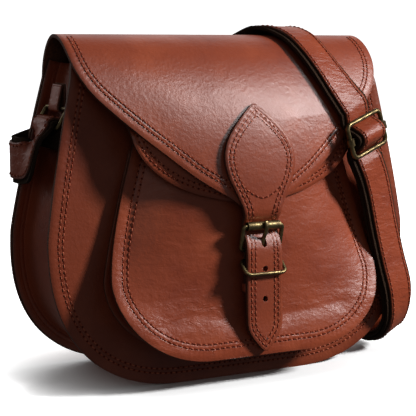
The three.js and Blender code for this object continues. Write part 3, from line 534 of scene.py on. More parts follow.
# A section pairs an inset in mm with a share of the depth, and this scale makes them alike in size.
SECTION_SCALE = 0.02
STRIP_STEPS = 60
GUSSET_ROWS = (4.4, 7.2)
GUSSET_WAVE = dict(out=2.2, wide=30, deep=2.2, tall=45)
GUSSET_SECTION = [(EDGE_SETBACK, 0), (FLANGE - 1, 0), (FLANGE + 0.6, 0.05), (FLANGE + 1.6, 0.28),
                  (FLANGE + 2, 0.5), (FLANGE + 1.6, 0.72), (FLANGE + 0.6, 0.95), (FLANGE - 1, 1),
                  (EDGE_SETBACK, 1)]


def spline(points, t):
    """Point at t, from 0 to 1, on a smooth curve through points spaced by their distances"""
    points = [Vector(point) for point in points]
    last = len(points) - 1
    at = min(max(t, 0.0), 1.0) * last
    k = min(int(at), last - 1)
    b, c = points[k], points[k + 1]
    a = points[k - 1] if k > 0 else 2 * b - c
    d = points[k + 2] if k + 2 <= last else 2 * c - b
    near, mid, far = (max((q - p).length, 1e-6) ** 0.5 for p, q in ((a, b), (b, c), (c, d)))
    start = ((b - a) / near - (c - a) / (near + mid) + (c - b) / mid) * mid
    end = ((c - b) / mid - (d - b) / (mid + far) + (d - c) / far) * mid
    s = at - k
    return b + start * s + (3 * (c - b) - 2 * start - end) * s ** 2 + (2 * (b - c) + start + end) * s ** 3


def channel_point(outline, section, near_y, far_y, wavy=0.0):
    """Places on a strip with flanges that follows an outline between two faces, wavy between its flanges"""
    def point(u, v):
        at = v * (len(outline) - 1)
        k = min(int(at), len(outline) - 2)
        share = at - k
        (x0, z0), (x1, z1) = outline[max(k - 1, 0)], outline[min(k + 2, len(outline) - 1)]
        run = math.hypot(x1 - x0, z1 - z0)
        x = outline[k][0] + share * (outline[k + 1][0] - outline[k][0])
        z = outline[k][1] + share * (outline[k + 1][1] - outline[k][1])
        inset, depth, _ = spline([(a * SECTION_SCALE, b, 0) for a, b in section], u)
        spot = Vector((x / GUSSET_WAVE["wide"], depth * GUSSET_WAVE["deep"], z / GUSSET_WAVE["tall"]))
        waves = noise.noise(spot) * math.sin(math.pi * min(max(depth, 0), 1)) ** 2
        inset = inset / SECTION_SCALE + wavy * waves
        x, z = x - inset * (z1 - z0) / run, z + inset * (x1 - x0) / run
        depth = min(max(depth, 0.0), 1.0)
        return place(x, (1 - depth) * near_y(x, z) + depth * far_y(x, z), z)
    return point


GUSSET_HIDE = cowhide("soft_cowhide_gusset", sewn_border(GUSSET_ROWS))
gusset_point = channel_point(panel_outline(BODY, FRONT["top"], STRIP_STEPS), GUSSET_SECTION,
                             lambda x, z: front_plane(z) + LEATHER + GAP,
                             lambda x, z: back_y(x, z) - FLAP_THICK - 2 * GAP, GUSSET_WAVE["out"])
leather_piece("gusset_leather", leather_sheet(gusset_point, 56, 150, SOFT_LEATHER, proud=True),
              GUSSET_HIDE, "gusset")


# Pocket: a domed cowhide front sewn by its border to a tapering strip, which stands it out at the
# foot and meets the front panel near the top. Wear has pressed a fold across its lower part.
POCKET = dict(flat=35, widest=97.5, bottom=19, shoulder=68, top=152, top_half=75.5, taper=1.2, round=2)
POCKET_FLANGE = 8.5
POCKET_DOME = 2.6
POCKET_ROWS = (7.2, 10.2)
POCKET_WALL_DEPTH = 2.24
POCKET_EDGE_Y = [(19, -65), (28, -63.4), (46, -57.5), (59, -51), (78, -42.5), (97, -37.2), (120, -33.4),
                 (140, -31.4), (152, -30.2)]
POCKET_MIDDLE_Y = [(19, -65), (28, -63.5), (46, -58.6), (59, -55.9), (78, -53.9), (97, -51.8), (120, -48.6),
                   (140, -45.2), (152, -43)]
POCKET_FOLD = [(-90, 36), (-70, 40), (-58, 45.5), (-45, 47), (-35, 46.5), (-26, 44.5), (0, 41), (14, 42),
               (29, 43.5), (45, 44.5), (60, 46), (80, 43)]
FOLD_DEPTH, FOLD_ABOVE, FOLD_BELOW = 1.3, 14.0, 5.5
FOLD_FADE = 16
POCKET_WAVE = dict(out=0.4, wide=26, layer=1.0, tall=22)
POCKET_WEAR = dict(everywhere=0.15, fold=0.65, left=0.2, above=2, wide=11, left_full=-60)
pocket_edge_y = through(POCKET_EDGE_Y)
pocket_middle_y = through(POCKET_MIDDLE_Y)
pocket_fold_z = through(POCKET_FOLD)


def pocket_plain_y(x, z):
    """Pocket front without its fold, flat along the border and domed inside it"""
    inside = min(abs(x) / (half_width(POCKET, z) - POCKET_FLANGE), 1)
    return pocket_edge_y(z) + (pocket_middle_y(z) - pocket_edge_y(z)) * (1 - inside ** POCKET_DOME)


def pocket_y(x, z):
    """Pocket front with the fold: pressed in softly above the line, rolling out below it"""
    z = min(max(z, POCKET["bottom"]), POCKET["top"])
    above = z - pocket_fold_z(x)
    press = math.exp(-above / FOLD_ABOVE) if above > 0 else math.exp(-(above / FOLD_BELOW) ** 2)
    room = min(max((half_width(POCKET, z) - abs(x) - POCKET_ROWS[1]) / FOLD_FADE, 0), 1)
    return pocket_plain_y(x, z) + (FOLD_DEPTH * press + ripple(POCKET_WAVE, x, z)) * room


def pocket_point(u, v):
    """Place on the pocket front, by its shares across and up"""
    z = panel_height(POCKET, POCKET["top"], v)
    x = (2 * u - 1) * half_width(POCKET, z)
    return place(x, pocket_y(x, z), z)


def smooth(low, high, at):
    """Eased step from 0 at low to 1 at high"""
    t = min(max((at - low) / (high - low), 0.0), 1.0)
    return t * t * (3 - 2 * t)


def pocket_wear(x, z):
    """Wrinkles gather along the fold, and a little more towards the left"""
    near = (z - pocket_fold_z(x) - POCKET_WEAR["above"]) / POCKET_WEAR["wide"]
    creased = POCKET_WEAR["everywhere"] + POCKET_WEAR["fold"] * math.exp(-near * near)
    return creased + POCKET_WEAR["left"] * smooth(0, POCKET_WEAR["left_full"], x)


POCKET_HIDE = cowhide("cowhide_pocket", sewn_border(POCKET_ROWS), (14, 14, 6))
leather_piece("pocket_leather", leather_sheet(pocket_point, 160, 140, LEATHER, wear=pocket_wear),
              POCKET_HIDE, "pocket_panel")
pocket_outline = panel_outline(POCKET, POCKET["top"], SEWN_STEPS)
stitches("pocket_stitches", [sewn_line(pocket_outline, inset, pocket_y) for inset in POCKET_ROWS])

POCKET_SECTION = [(EDGE_SETBACK, 0), (POCKET_FLANGE - 2, 0), (POCKET_FLANGE - 0.6, 0.12),
                  (POCKET_FLANGE, 0.5), (POCKET_FLANGE - 0.6, 0.88), (POCKET_FLANGE - 2, 1),
                  (EDGE_SETBACK, 1)]
POCKET_GUSSET_TOP = 148
pocket_strip_point = channel_point(panel_outline(POCKET, POCKET_GUSSET_TOP, STRIP_STEPS), POCKET_SECTION,
                                   lambda x, z: pocket_edge_y(z) + POCKET_WALL_DEPTH + GAP,
                                   lambda x, z: front_plane(z) - GAP)
leather_piece("pocket_gusset_leather", leather_sheet(pocket_strip_point, 40, 150, SOFT_LEATHER, proud=True),
              GUSSET_HIDE, "pocket_gusset")


# Pocket flap: a shallow curved flap hemmed on the front panel under the main flap, double sewn
# along its free edge.
POCKET_FLAP = dict(hem=178, turn=157, settle=174, behind=3.1, low=114.5, tuck=2.4, tuck_from=152,
                   crowd=1.4, sewn_crowd=1.5, sewn_steps=80)
POCKET_FLAP_ROWS = (3.6, 6.4)
POCKET_FLAP_EDGE = [(114.5, 9), (117, 23), (122, 43), (130, 60), (140, 72.5), (151, 79.6), (160, 81.6),
                    (178, 80)]
pocket_flap_half = through(POCKET_FLAP_EDGE)


def pocket_flap_y(x, z):
    """Outer face of the pocket flap: hanging behind the main flap, and settling on its hem"""
    tuck = POCKET_FLAP["tuck"] * smooth(POCKET_FLAP["tuck_from"], POCKET_FLAP["low"], z)
    hanging = flap_y(x, z) + POCKET_FLAP["behind"] + tuck
    hemmed = front_plane(z) - LEATHER - GAP
    return hanging + (hemmed - hanging) * smooth(POCKET_FLAP["turn"], POCKET_FLAP["settle"], z)


def pocket_flap_point(u, v):
    """Place on the pocket flap, by its shares across and up, with close rows at the free edge"""
    z = POCKET_FLAP["low"] + (POCKET_FLAP["hem"] - POCKET_FLAP["low"]) * v ** POCKET_FLAP["crowd"]
    x = (2 * u - 1) * pocket_flap_half(z)
    return place(x, pocket_flap_y(x, z), z)


POCKET_FLAP_HIDE = cowhide("cowhide_pocket_flap", sewn_border(POCKET_FLAP_ROWS))
leather_piece("pocket_flap_leather", leather_sheet(pocket_flap_point, 90, 60, LEATHER),
              POCKET_FLAP_HIDE, "pocket_flap")
pocket_flap_heights = []
for k in range(POCKET_FLAP["sewn_steps"] + 1):
    share = (k / POCKET_FLAP["sewn_steps"]) ** POCKET_FLAP["sewn_crowd"]
    pocket_flap_heights.append(POCKET_FLAP["low"] + (POCKET_FLAP["settle"] - POCKET_FLAP["low"]) * share)
pocket_flap_outline = both_sides(pocket_flap_half, pocket_flap_heights)
stitches("pocket_flap_stitches", [sewn_line(pocket_flap_outline, inset, pocket_flap_y)
                                  for inset in POCKET_FLAP_ROWS])


# Closure tab: thick cowhide cut as a leaf, sewn on the flap, and running down as a strap with
# punched holes and a pointed end. It passes behind the roller, and the prong goes through it.
TAB_THICK = 2.6
TAB_TIP, TAB_APEX = 21.8, 175.5
TAB_LEAVES_FLAP = (110, 118)
TAB_ROWS = (3.0, 5.7)
TAB_EDGE = [(175.5, 1.2), (170, 8), (162, 16.2), (153, 22.6), (143, 25.2), (132, 23.2), (121, 18),
            (112, 14), (104, 12.3), (92, 12.3), (84, 12.7), (40, 12.6), (33.5, 10.9), (26, 5.4),
            (21.8, 1.2)]
TAB_BACK = [(111, -58.4), (108, -57.9), (104.5, -56), (101, -55.1), (95, -56.9), (90.5, -59.5),
            (86, -61.1), (79, -61.8), (62, -62.4), (50, -63), (40, -63.6), (28, -65), (21, -65.7)]
TAB_HOLES = dict(radius=1.7, heights=(74, 55), behind=4, ahead=8)
TAB_STEPS, CLOSING_STEPS = 160, 30
PRONG_HOLE = dict(radius=1.9, tall=1.6, back=(-56.2, 87.9), front=(-66.3, 92.4))
LEAF_CLOSING = [(-15.4, 127.0), (-8, 121.5), (0, 118.6), (8, 121.5), (15.4, 127.0)]
tab_half = through(TAB_EDGE)
tab_back_y = through(TAB_BACK)


def tab_y(x, z):
    """Back of the tab: on the flap above, hanging free below"""
    hanging = tab_back_y(z)
    return hanging + (flap_y(x, z) - GAP - hanging) * smooth(*TAB_LEAVES_FLAP, z)


def tab_front_y(x, z):
    """Face of the tab, which the thread is sewn on"""
    return tab_y(x, z) - TAB_THICK


def tab_point(u, v):
    """Place on the back of the tab, by its shares across and up"""
    z = TAB_TIP + (TAB_APEX - TAB_TIP) * v
    x = (2 * u - 1) * tab_half(z)
    return place(x, tab_y(x, z), z)


def punch(piece, start, end, radius, tall=1.0):
    """Cuts a round or tall hole through a piece, along a line from start to end"""
    bm = bmesh.new()
    way = end - start
    turn = way.to_track_quat("Z", "Y").to_matrix().to_4x4()
    turn.translation = (start + end) / 2
    turn = turn @ Matrix.Diagonal((1, tall, 1, 1))
    bmesh.ops.create_cone(bm, segments=24, radius1=radius, radius2=radius, depth=way.length, cap_ends=True,
                          matrix=turn)
    mesh = bpy.data.meshes.new("punch")
    bm.to_mesh(mesh)
    bm.free()
    cutter = bpy.data.objects.new("punch", mesh)
    bpy.context.scene.collection.objects.link(cutter)
    cut = piece.modifiers.new("punch", "BOOLEAN")
    cut.object = cutter
    cut.solver = "EXACT"
    bpy.context.view_layer.update()
    done = bpy.data.meshes.new_from_object(piece.evaluated_get(bpy.context.evaluated_depsgraph_get()))
    piece.modifiers.remove(cut)
    piece.data = done
    bpy.data.objects.remove(cutter)


TAB_HIDE = cowhide("cowhide_tab", sewn_border(TAB_ROWS))
tab = leather_piece("closure_tab_leather", leather_sheet(tab_point, 26, 150, TAB_THICK, proud=True),
                    TAB_HIDE, "closure_tab")
for z in TAB_HOLES["heights"]:
    behind, ahead = tab_back_y(z) + TAB_HOLES["behind"], tab_back_y(z) - TAB_HOLES["ahead"]
    punch(tab, place(0, behind, z), place(0, ahead, z), TAB_HOLES["radius"] * MM)
punch(tab, place(0, *PRONG_HOLE["back"]), place(0, *PRONG_HOLE["front"]), PRONG_HOLE["radius"] * MM,
      PRONG_HOLE["tall"])
tab_heights = [TAB_TIP + (TAB_APEX - TAB_TIP) * k / TAB_STEPS for k in range(TAB_STEPS + 1)]
tab_outline = both_sides(tab_half, tab_heights)
closing_row = []
for k in range(CLOSING_STEPS + 1):
    x, z, _ = spline([(x, z, 0) for x, z in LEAF_CLOSING], k / CLOSING_STEPS)
    closing_row.append((place(x, tab_front_y(x, z), z), Vector((0, -1, 0))))
stitches("tab_stitches", [sewn_line(tab_outline, inset, tab_front_y) for inset in TAB_ROWS] + [closing_row])


# Chape and band: a leather strip folded round the buckle's low bar and sewn on the pocket, and a
# short leather band across it.
CHAPE = dict(half=10, thick=1.4, steps=60)
CHAPE_FOLD = [(-60.1, 47, 1, 0), (-57.3, 62, 1, 0), (-55.6, 79, 1, 0), (-55.8, 85.5, 1, 0.1),
              (-56.4, 87.2, 0.7, 0.7), (-57.6, 87.8, 0, 1), (-58.8, 87.2, -0.7, 0.7),
              (-59.3, 85.5, -1, 0.1), (-59.3, 79, -1, 0), (-59.2, 62, -1, 0), (-59.2, 57.5, -1, 0)]
BAND = dict(low=59.5, high=65, half=13, front=-62.1, back=-57.6, thick=1.1, bend=1.4, corner=0.4, steps=56)
STRIP_ROWS = (1.6,)


def route_frames(places, faces, steps):
    """Frames along a route: place, way across and the way its outer side faces"""
    frames = []
    small = 1e-4
    for k in range(steps + 1):
        t = k / steps
        way = spline(places, min(t + small, 1)) - spline(places, max(t - small, 0))
        way.normalize()
        across = way.cross(spline(faces, t)).normalized()
        frames.append((spline(places, t), across, across.cross(way).normalized()))
    return frames


def strip(frames, half, inner, outer, columns=8, crown=0.0, wear=None):
    """A strip of leather or webbing over frames, between two depths, a little crowned across"""
    def point(u, v):
        middle, across, normal = frames[round(v * (len(frames) - 1))]
        side = 2 * u - 1
        return middle + across * side * half * MM + normal * (outer - crown * side ** 4) * MM
    return leather_sheet(point, columns, len(frames) - 1, outer - inner, wear=wear)


STRIP_HIDE = cowhide("cowhide_strip", sewn_border(STRIP_ROWS))
chape_frames = route_frames([place(0, y, z) for y, z, _, _ in CHAPE_FOLD],
                            [(0, face_y, face_z) for _, _, face_y, face_z in CHAPE_FOLD], CHAPE["steps"])
leather_piece("chape_leather", strip(chape_frames, CHAPE["half"], 0, CHAPE["thick"]), STRIP_HIDE,
              "buckle_chape")
band_left = [(-BAND["half"], BAND["back"], -1, 0), (-BAND["half"], BAND["front"] + BAND["bend"], -1, 0),
             (-BAND["half"] + BAND["corner"], BAND["front"] + BAND["corner"], -0.7, -0.7),
             (-BAND["half"] + BAND["bend"], BAND["front"], 0, -1)]
band_route = band_left + [(-x, y, -face_x, face_y) for x, y, face_x, face_y in reversed(band_left)]
band_middle = (BAND["low"] + BAND["high"]) / 2
band_frames = route_frames([place(x, y, band_middle) for x, y, _, _ in band_route],
                           [(face_x, face_y, 0) for _, _, face_x, face_y in band_route], BAND["steps"])
leather_piece("chape_band_leather", strip(band_frames, (BAND["high"] - BAND["low"]) / 2, -BAND["thick"], 0),
              STRIP_HIDE, "chape_band")


# Roller buckle and keeper: bent brass wire with a sleeve that turns on the top bar, a wire prong
# round the low bar, and a wire loop that holds the tab down. The brass is aged to a dull gold.
BUCKLE = dict(wire=1.4, half=14.3, bar=(-57.6, 86), roller=(-60.9, 101), corner=2.2)
ROLLER = dict(radius=2.8, length=23.8, bore=2.0, round=0.25, end_on=0.9, corner_turn=1.2)
PRONG = dict(wire=1.0, wide=1.4, slack=0.45, eye_from=-115, eye_to=-295, eye_steps=8, steps=60)
PRONG_ROUTE = [(-60.4, 87.6), (-61.8, 93), (-64.1, 97), (-65.2, 101), (-64.2, 104.2)]
KEEPER = dict(wire=1.2, half=14.6, back=(-57.6, 79.2), front=(-66.8, 71.4), corner=3.8)
WIRE_END = 0.4
PATINA = dict(patch=5, scratch=0.6, scratch_deep=0.05)


def aged_brass():
    """Brass, aged to an antique brown and rubbed back: dull gold with brown patina in cloudy patches,
    which shine less, and fine scratches"""
    material, tree, shader = new_material("antique_brass")
    where = add(tree, "ShaderNodeTexCoord").outputs["Object"]
    patches = add(tree, "ShaderNodeTexNoise", {"Vector": where, "Scale": 1 / (PATINA["patch"] * MM),
                                               "Detail": 5.0, "Roughness": 0.65})
    patina = add(tree, "ShaderNodeValToRGB", {"Fac": patches.outputs["Fac"]}, stops=[
        (0.36, linear("#5c4e37")), (0.66, linear("#8d7c56"))])
    dull = add(tree, "ShaderNodeMapRange", {"Value": patches.outputs["Fac"], "From Min": 0.35,
                                            "From Max": 0.65, "To Min": 0.5, "To Max": 0.34})
    scratches = add(tree, "ShaderNodeTexNoise", {"Vector": where, "Scale": 1 / (PATINA["scratch"] * MM),
                                                 "Detail": 2.0})
    marks = add(tree, "ShaderNodeBump", {"Height": scratches.outputs["Fac"], "Strength": 0.1,
                                         "Distance": PATINA["scratch_deep"] * MM})
    tree.links.new(patina.outputs["Color"], shader.inputs["Base Color"])
    tree.links.new(dull.outputs[0], shader.inputs["Roughness"])
    tree.links.new(marks.outputs[0], shader.inputs["Normal"])
    shader.inputs["Metallic"].default_value = 1.0
    return material


def wire(points, radius, closed, sides=14):
    """Round wire along points: a circle set at each one, the circles bridged into a tube"""
    bm = bmesh.new()
    count = len(points)
    rings = []
    side = None
    for k in range(count):
        before = points[k - 1] if closed or k > 0 else points[0]
        after = points[(k + 1) % count] if closed or k < count - 1 else points[k]
        way = (after - before).normalized()
        side = (way.orthogonal() if side is None else side - way * side.dot(way)).normalized()
        matrix = Matrix((side, way.cross(side), way)).transposed().to_4x4()
        matrix.translation = points[k]
        made = bmesh.ops.create_circle(bm, cap_ends=False, segments=sides, radius=radius, matrix=matrix)
        rings.append(made["verts"])
    for k in range(count if closed else count - 1):
        pair = [set(rings[k]), set(rings[(k + 1) % count])]
        edges = [edge for ring in pair for edge in {edge for vert in ring for edge in vert.link_edges}
                 if set(edge.verts) <= ring]
        bmesh.ops.bridge_loops(bm, edges=edges)
    if not closed:
        for ring, way in ((rings[0], points[0] - points[1]), (rings[-1], points[-1] - points[-2])):
            made = bmesh.ops.contextual_create(bm, geom=ring)
            bmesh.ops.inset_individual(bm, faces=made["faces"], thickness=radius * WIRE_END)
            for vert in made["faces"][0].verts:
                vert.co += way.normalized() * radius * WIRE_END
    bmesh.ops.recalc_face_normals(bm, faces=bm.faces[:])
    return bm


def loop_points(middle, across, along, half, rise, corner):
    """Points round a rectangle with round corners"""
    points = []
    for sx, sy, start in ((1, 1, 0), (-1, 1, 90), (-1, -1, 180), (1, -1, 270)):
        for step in range(0, 91, 15):
            turn = math.radians(start + step)
            a = sx * (half - corner) + corner * math.cos(turn)
            b = sy * (rise - corner) + corner * math.sin(turn)
            points.append(middle + across * a * MM + along * b * MM)
    return points


BRASS = aged_brass()
X_AXIS, Y_AXIS = Vector((1, 0, 0)), Vector((0, 1, 0))
for name, node, low, high, shape in (
        ("buckle_frame_wire", "buckle_frame", BUCKLE["bar"], BUCKLE["roller"], BUCKLE),
        ("keeper_wire", "keeper_loop", KEEPER["back"], KEEPER["front"], KEEPER)):
    low, high = place(0, *low), place(0, *high)
    run = (high - low).normalized()
    rise = (high - low).length / MM / 2
    loop = loop_points((low + high) / 2, X_AXIS, run, shape["half"], rise, shape["corner"])
    bag_piece(name, wire(loop, shape["wire"] * MM, True), [BRASS], "brass", node)

roller = bmesh.new()
roller_middle = place(0, *BUCKLE["roller"])
roller_matrix = Matrix.Rotation(math.pi / 2, 4, "Y")
roller_matrix.translation = roller_middle
bmesh.ops.create_cone(roller, segments=32, radius1=ROLLER["radius"] * MM, radius2=ROLLER["radius"] * MM,
                      depth=ROLLER["length"] * MM, cap_ends=True, matrix=roller_matrix)
ends = [face for face in roller.faces if abs(face.normal.x) > ROLLER["end_on"]]
bmesh.ops.inset_individual(roller, faces=ends, thickness=(ROLLER["radius"] - BUCKLE["wire"] - GAP) * MM)
for face in ends:
    for vert in face.verts:
        vert.co.x -= math.copysign(ROLLER["bore"] * MM, face.normal.x)
rounded = [edge for edge in roller.edges if edge.calc_face_angle(0) > ROLLER["corner_turn"]]
bmesh.ops.bevel(roller, geom=rounded, offset=ROLLER["round"] * MM, segments=2, profile=0.5, affect="EDGES",
                material=-1)
bag_piece("roller_sleeve", roller, [BRASS], "brass", "buckle_roller")

eye = BUCKLE["wire"] + PRONG["slack"] + PRONG["wire"]
prong_route = []
for k in range(PRONG["eye_steps"] + 1):
    turn = math.radians(PRONG["eye_from"] + (PRONG["eye_to"] - PRONG["eye_from"]) * k / PRONG["eye_steps"])
    prong_route.append((BUCKLE["bar"][0] - eye * math.cos(turn), BUCKLE["bar"][1] - eye * math.sin(turn)))
prong_route += PRONG_ROUTE
prong_points = [spline([place(0, y, z) for y, z in prong_route], k / PRONG["steps"])
                for k in range(PRONG["steps"] + 1)]
prong = wire(prong_points, PRONG["wire"] * MM, False)
for vert in prong.verts:
    vert.co.x = BAG_X + (vert.co.x - BAG_X) * PRONG["wide"]
bag_piece("prong_wire", prong, [BRASS], "brass", "buckle_prong")


# Rings and ring tabs: a rectangular brass wire ring at each end of the gusset, held by a leather
# tab folded round its high bar and sewn on the gusset.
RING = dict(wire=1.3, half=16.1, drop=13, corner=2.6, tilt=30)
RINGS = dict(left=(-112.4, 2.2, 173), right=(113.4, 3, 175))
RING_TAB = dict(half=7, thick=1.4, rise=15, front_out=0.3, front_turn=6.8, front_rise=14.2, steps=56)
ring_low = {}
for name, side in (("left", -1), ("right", 1)):
    high = place(*RINGS[name])
    tilt = math.radians(RING["tilt"])
    fall = Vector((side * math.sin(tilt), 0, -math.cos(tilt)))
    ring_low[name] = high + fall * RING["drop"] * MM
    ring = loop_points(high + fall * RING["drop"] * MM / 2, Y_AXIS, fall, RING["half"], RING["drop"] / 2,
                       RING["corner"])
    bag_piece(f"ring_{name}_wire", wire(ring, RING["wire"] * MM, True), [BRASS], "brass", f"ring_{name}")
    fold = RING["wire"] + GAP
    slant = fold * math.sqrt(0.5)
    route = [(-fold, RING_TAB["rise"], -1, 0), (-fold, 0, -1, 0), (-slant, -slant, -1, -1),
             (0, -fold, 0, -1), (slant, -slant, 1, -1), (fold, 0, 1, 0),
             (RING_TAB["front_out"], RING_TAB["front_turn"], 1, 0),
             (GAP - fold, RING_TAB["front_rise"], 1, 0)]
    tab_frames = route_frames([high + Vector((side * out, 0, up)) * MM for out, up, _, _ in route],
                              [(side * face_x, 0, face_z) for _, _, face_x, face_z in route],
                              RING_TAB["steps"])
    leather_piece(f"ring_tab_{name}_leather", strip(tab_frames, RING_TAB["half"], 0, RING_TAB["thick"]),
                  STRIP_HIDE, f"ring_tab_{name}")


# Shoulder strap: dark cotton webbing with a strip of cowhide sewn on its outer side. It runs from the
# left ring behind and over the bag, through the slide, round the right ring and back to the slide.
WEB = dict(half=14.5, thick=2.0, rib=1.4, yarn=1.1, columns=10)
STRAP = dict(half=11.4, thick=1.3, seam=0.6, row=2.0, slack=0.85, ply=2 * WEB["thick"] + 2 * GAP,
             crown=0.25, wear=0.6, columns=12)
FOLD_ANGLES = (0, 45, 90, 135, 180)
SLIDE = dict(wire=1.6, half=18, rise=11.2, corner=4, bar=1.4, eye=2.8, eye_half=2.4)
SLIDE_MIDDLE = place(86.6, -49, 154.8)
SLIDE_ACROSS = Vector((0.915, 0.288, 0.276)).normalized()
slide_fall = Vector((0.36, -0.02, -0.93))
SLIDE_DOWN = (slide_fall - SLIDE_ACROSS * slide_fall.dot(SLIDE_ACROSS)).normalized()
SLIDE_OUT = SLIDE_DOWN.cross(SLIDE_ACROSS)
STRAP_LEFT_END = [(3.2, 14), (3.5, 6)]
STRAP_OVER = [
    ((-124, 2.4, 157), (-0.95, 0.28, 0.1)), ((-126, 3.4, 149.4), (-0.9, 0.42, 0.1)),
    ((-128.4, 9, 142), (-0.96, 0.26, 0.1)), ((-130.2, 18, 139), (-1, -0.05, 0)),
    ((-131.4, 26, 138.8), (-1, -0.05, 0)), ((-129.6, 32, 139.5), (-0.75, 0.7, 0)),
    ((-121, 33.6, 141.8), (-0.1, 1, 0.05)), ((-95, 31.6, 150.5), (0, 1, 0.07)),
    ((-45, 29.8, 170), (0, 1, 0.07)), ((5, 27.9, 190.5), (0, 1, 0.1)),
    ((30, 27.2, 205.4), (0.05, 0.93, 0.4)), ((45, 20.6, 217.4), (0.05, 0.66, 0.75)),
    ((53, 8, 222), (0, 0.05, 1)), ((57.6, -8, 218.1), (0.05, -0.4, 0.9)),
    ((60.5, -21.4, 208.9), (0.15, -0.66, 0.73)), ((65.4, -30.9, 197.6), (0.2, -0.8, 0.55)),
    ((71.2, -37.6, 186.2), (0.22, -0.89, 0.36)), ((76.4, -42, 177.4), (0.25, -0.94, 0.2))]
STRAP_IN_SLIDE = [(-19, -4.7), (-14, -5), (-10.3, -5.2), (-6, 0.4), (-3.2, 4), (0, 5.4), (3.2, 4), (6, 0.4),
                  (10.3, -5.2), (14, -4.9), (19.5, -3.4)]
STRAP_DROP = [
    ((100.2, -43.6, 120), (0.3, -0.95, 0)), ((108, -42.8, 93), (0.3, -0.95, 0)),
    ((115.2, -43.2, 68), (0.3, -0.95, 0)), ((121.8, -43.8, 46), (0.3, -0.95, -0.05)),
    ((126.4, -38.4, 28), (0.4, -0.85, -0.35)), ((128.6, -27, 14.5), (0.42, -0.4, -0.8)),
    ((129.4, -11, 10.5), (0.42, 0.1, -0.9)), ((129.4, 2, 18.5), (0.5, 0.7, -0.5)),
    ((130.4, 6, 38), (0.62, 0.76, -0.1)), ((132, 5, 58), (0.8, 0.55, 0)), ((132.6, 4, 80), (0.92, 0.36, 0)),
    ((129.8, 3, 118), (0.98, 0.15, 0.05)), ((125.6, 3, 148), (1, 0, 0.1))]
STRAP_TAIL = [(14, -4.9 - STRAP["ply"]), (9, -9), (4, -6), (0, -4.4), (-3, -4.2)]
STRAP_STEPS = 8


def webbing_material():
    """Cotton webbing, woven in dark brown: close ribs across the strap and no gloss"""
    material, tree, shader = new_material("cotton_webbing")
    along = add(tree, "ShaderNodeAttribute", attribute_name="along_mm").outputs["Fac"]
    edge = add(tree, "ShaderNodeAttribute", attribute_name="edge_mm").outputs["Fac"]
    rib = add(tree, "ShaderNodeMath", {0: along, 1: 2 * math.pi / WEB["rib"]}, operation="MULTIPLY")
    rib = add(tree, "ShaderNodeMath", {0: rib.outputs[0]}, operation="SINE")
    yarn = add(tree, "ShaderNodeMath", {0: edge, 1: 2 * math.pi / WEB["yarn"]}, operation="MULTIPLY")
    yarn = add(tree, "ShaderNodeMath", {0: yarn.outputs[0]}, operation="SINE")
    weave = add(tree, "ShaderNodeMath", {0: rib.outputs[0], 1: yarn.outputs[0]}, operation="MULTIPLY")
    brown = add(tree, "ShaderNodeValToRGB", {"Fac": weave.outputs[0]}, stops=[
        (0.0, linear("#241811")), (1.0, linear("#4a392c"))])
    woven = add(tree, "ShaderNodeBump", {"Height": weave.outputs[0], "Strength": 0.6,
                                         "Distance": 0.25 * MM})
    tree.links.new(brown.outputs["Color"], shader.inputs["Base Color"])
    tree.links.new(woven.outputs[0], shader.inputs["Normal"])
    shader.inputs["Roughness"].default_value = 0.85
    shader.inputs["Specular IOR Level"].default_value = 0.1
    return material


def over_bar(low, side):
    """Strap folded over the low bar of a ring, from its outer side over the top to its inner side"""
    radius = (RING["wire"] + GAP + WEB["thick"] + STRAP["slack"]) * MM
    turns = [math.radians(degrees) for degrees in FOLD_ANGLES]
    facing = [Vector((side * math.cos(turn), 0, math.sin(turn))) for turn in turns]
    return [(low + face * radius, face) for face in facing]


def in_slide(down, out):
    """Place in the slide's own frame, in mm down the strap and out from its middle"""
    return SLIDE_MIDDLE + SLIDE_DOWN * down * MM + SLIDE_OUT * out * MM


def frames_of(rows, steps):
    """Frames along rows of place and facing, with so many steps between two rows"""
    return route_frames([row[0] for row in rows], [row[1] for row in rows], (len(rows) - 1) * steps)


outward = [(ring_low["left"] + Vector((toward, 0, -down)) * MM, X_AXIS) for toward, down in STRAP_LEFT_END]
outward += reversed(over_bar(ring_low["left"], -1))
outward += [(place(*spot), Vector(face)) for spot, face in STRAP_OVER]
outward += [(in_slide(down, out), SLIDE_OUT) for down, out in STRAP_IN_SLIDE]
drop_start = len(outward) - 2
outward += [(place(*spot), Vector(face)) for spot, face in STRAP_DROP]
drop_end = len(outward) - 1
outward += over_bar(ring_low["right"], 1)
outward_frames = frames_of(outward, STRAP_STEPS)
return_frames = [(middle - normal * STRAP["ply"] * MM, across, -normal) for middle, across, normal
                 in reversed(outward_frames[drop_start * STRAP_STEPS:drop_end * STRAP_STEPS + 1])]
tail_frames = frames_of([(in_slide(down, out), -SLIDE_OUT) for down, out in STRAP_TAIL], STRAP_STEPS)[1:]
strap_frames = outward_frames + return_frames + tail_frames

STRAP_HIDE = cowhide("cowhide_strap", sewn_border((STRAP["row"],)), (16, 4, 3.4))
strap_web = strip(strap_frames, WEB["half"], -WEB["thick"], 0, WEB["columns"])
bag_piece("strap_webbing_weave", strap_web, [webbing_material()] * 3, "webbing", "strap_webbing")
strap_outer = STRAP["seam"] + STRAP["thick"]
strap_strip = strip(strap_frames, STRAP["half"], STRAP["seam"], strap_outer, STRAP["columns"],
                    STRAP["crown"], lambda x, z: STRAP["wear"])
leather_piece("strap_leather_strip", strap_strip, STRAP_HIDE, "strap_leather")
strap_rows = []
for side in (-1, 1):
    reach = side * (STRAP["half"] - STRAP["row"])
    strap_rows.append([(middle + across * reach * MM + normal * strap_outer * MM, normal)
                       for middle, across, normal in strap_frames])
stitches("strap_stitches", strap_rows)


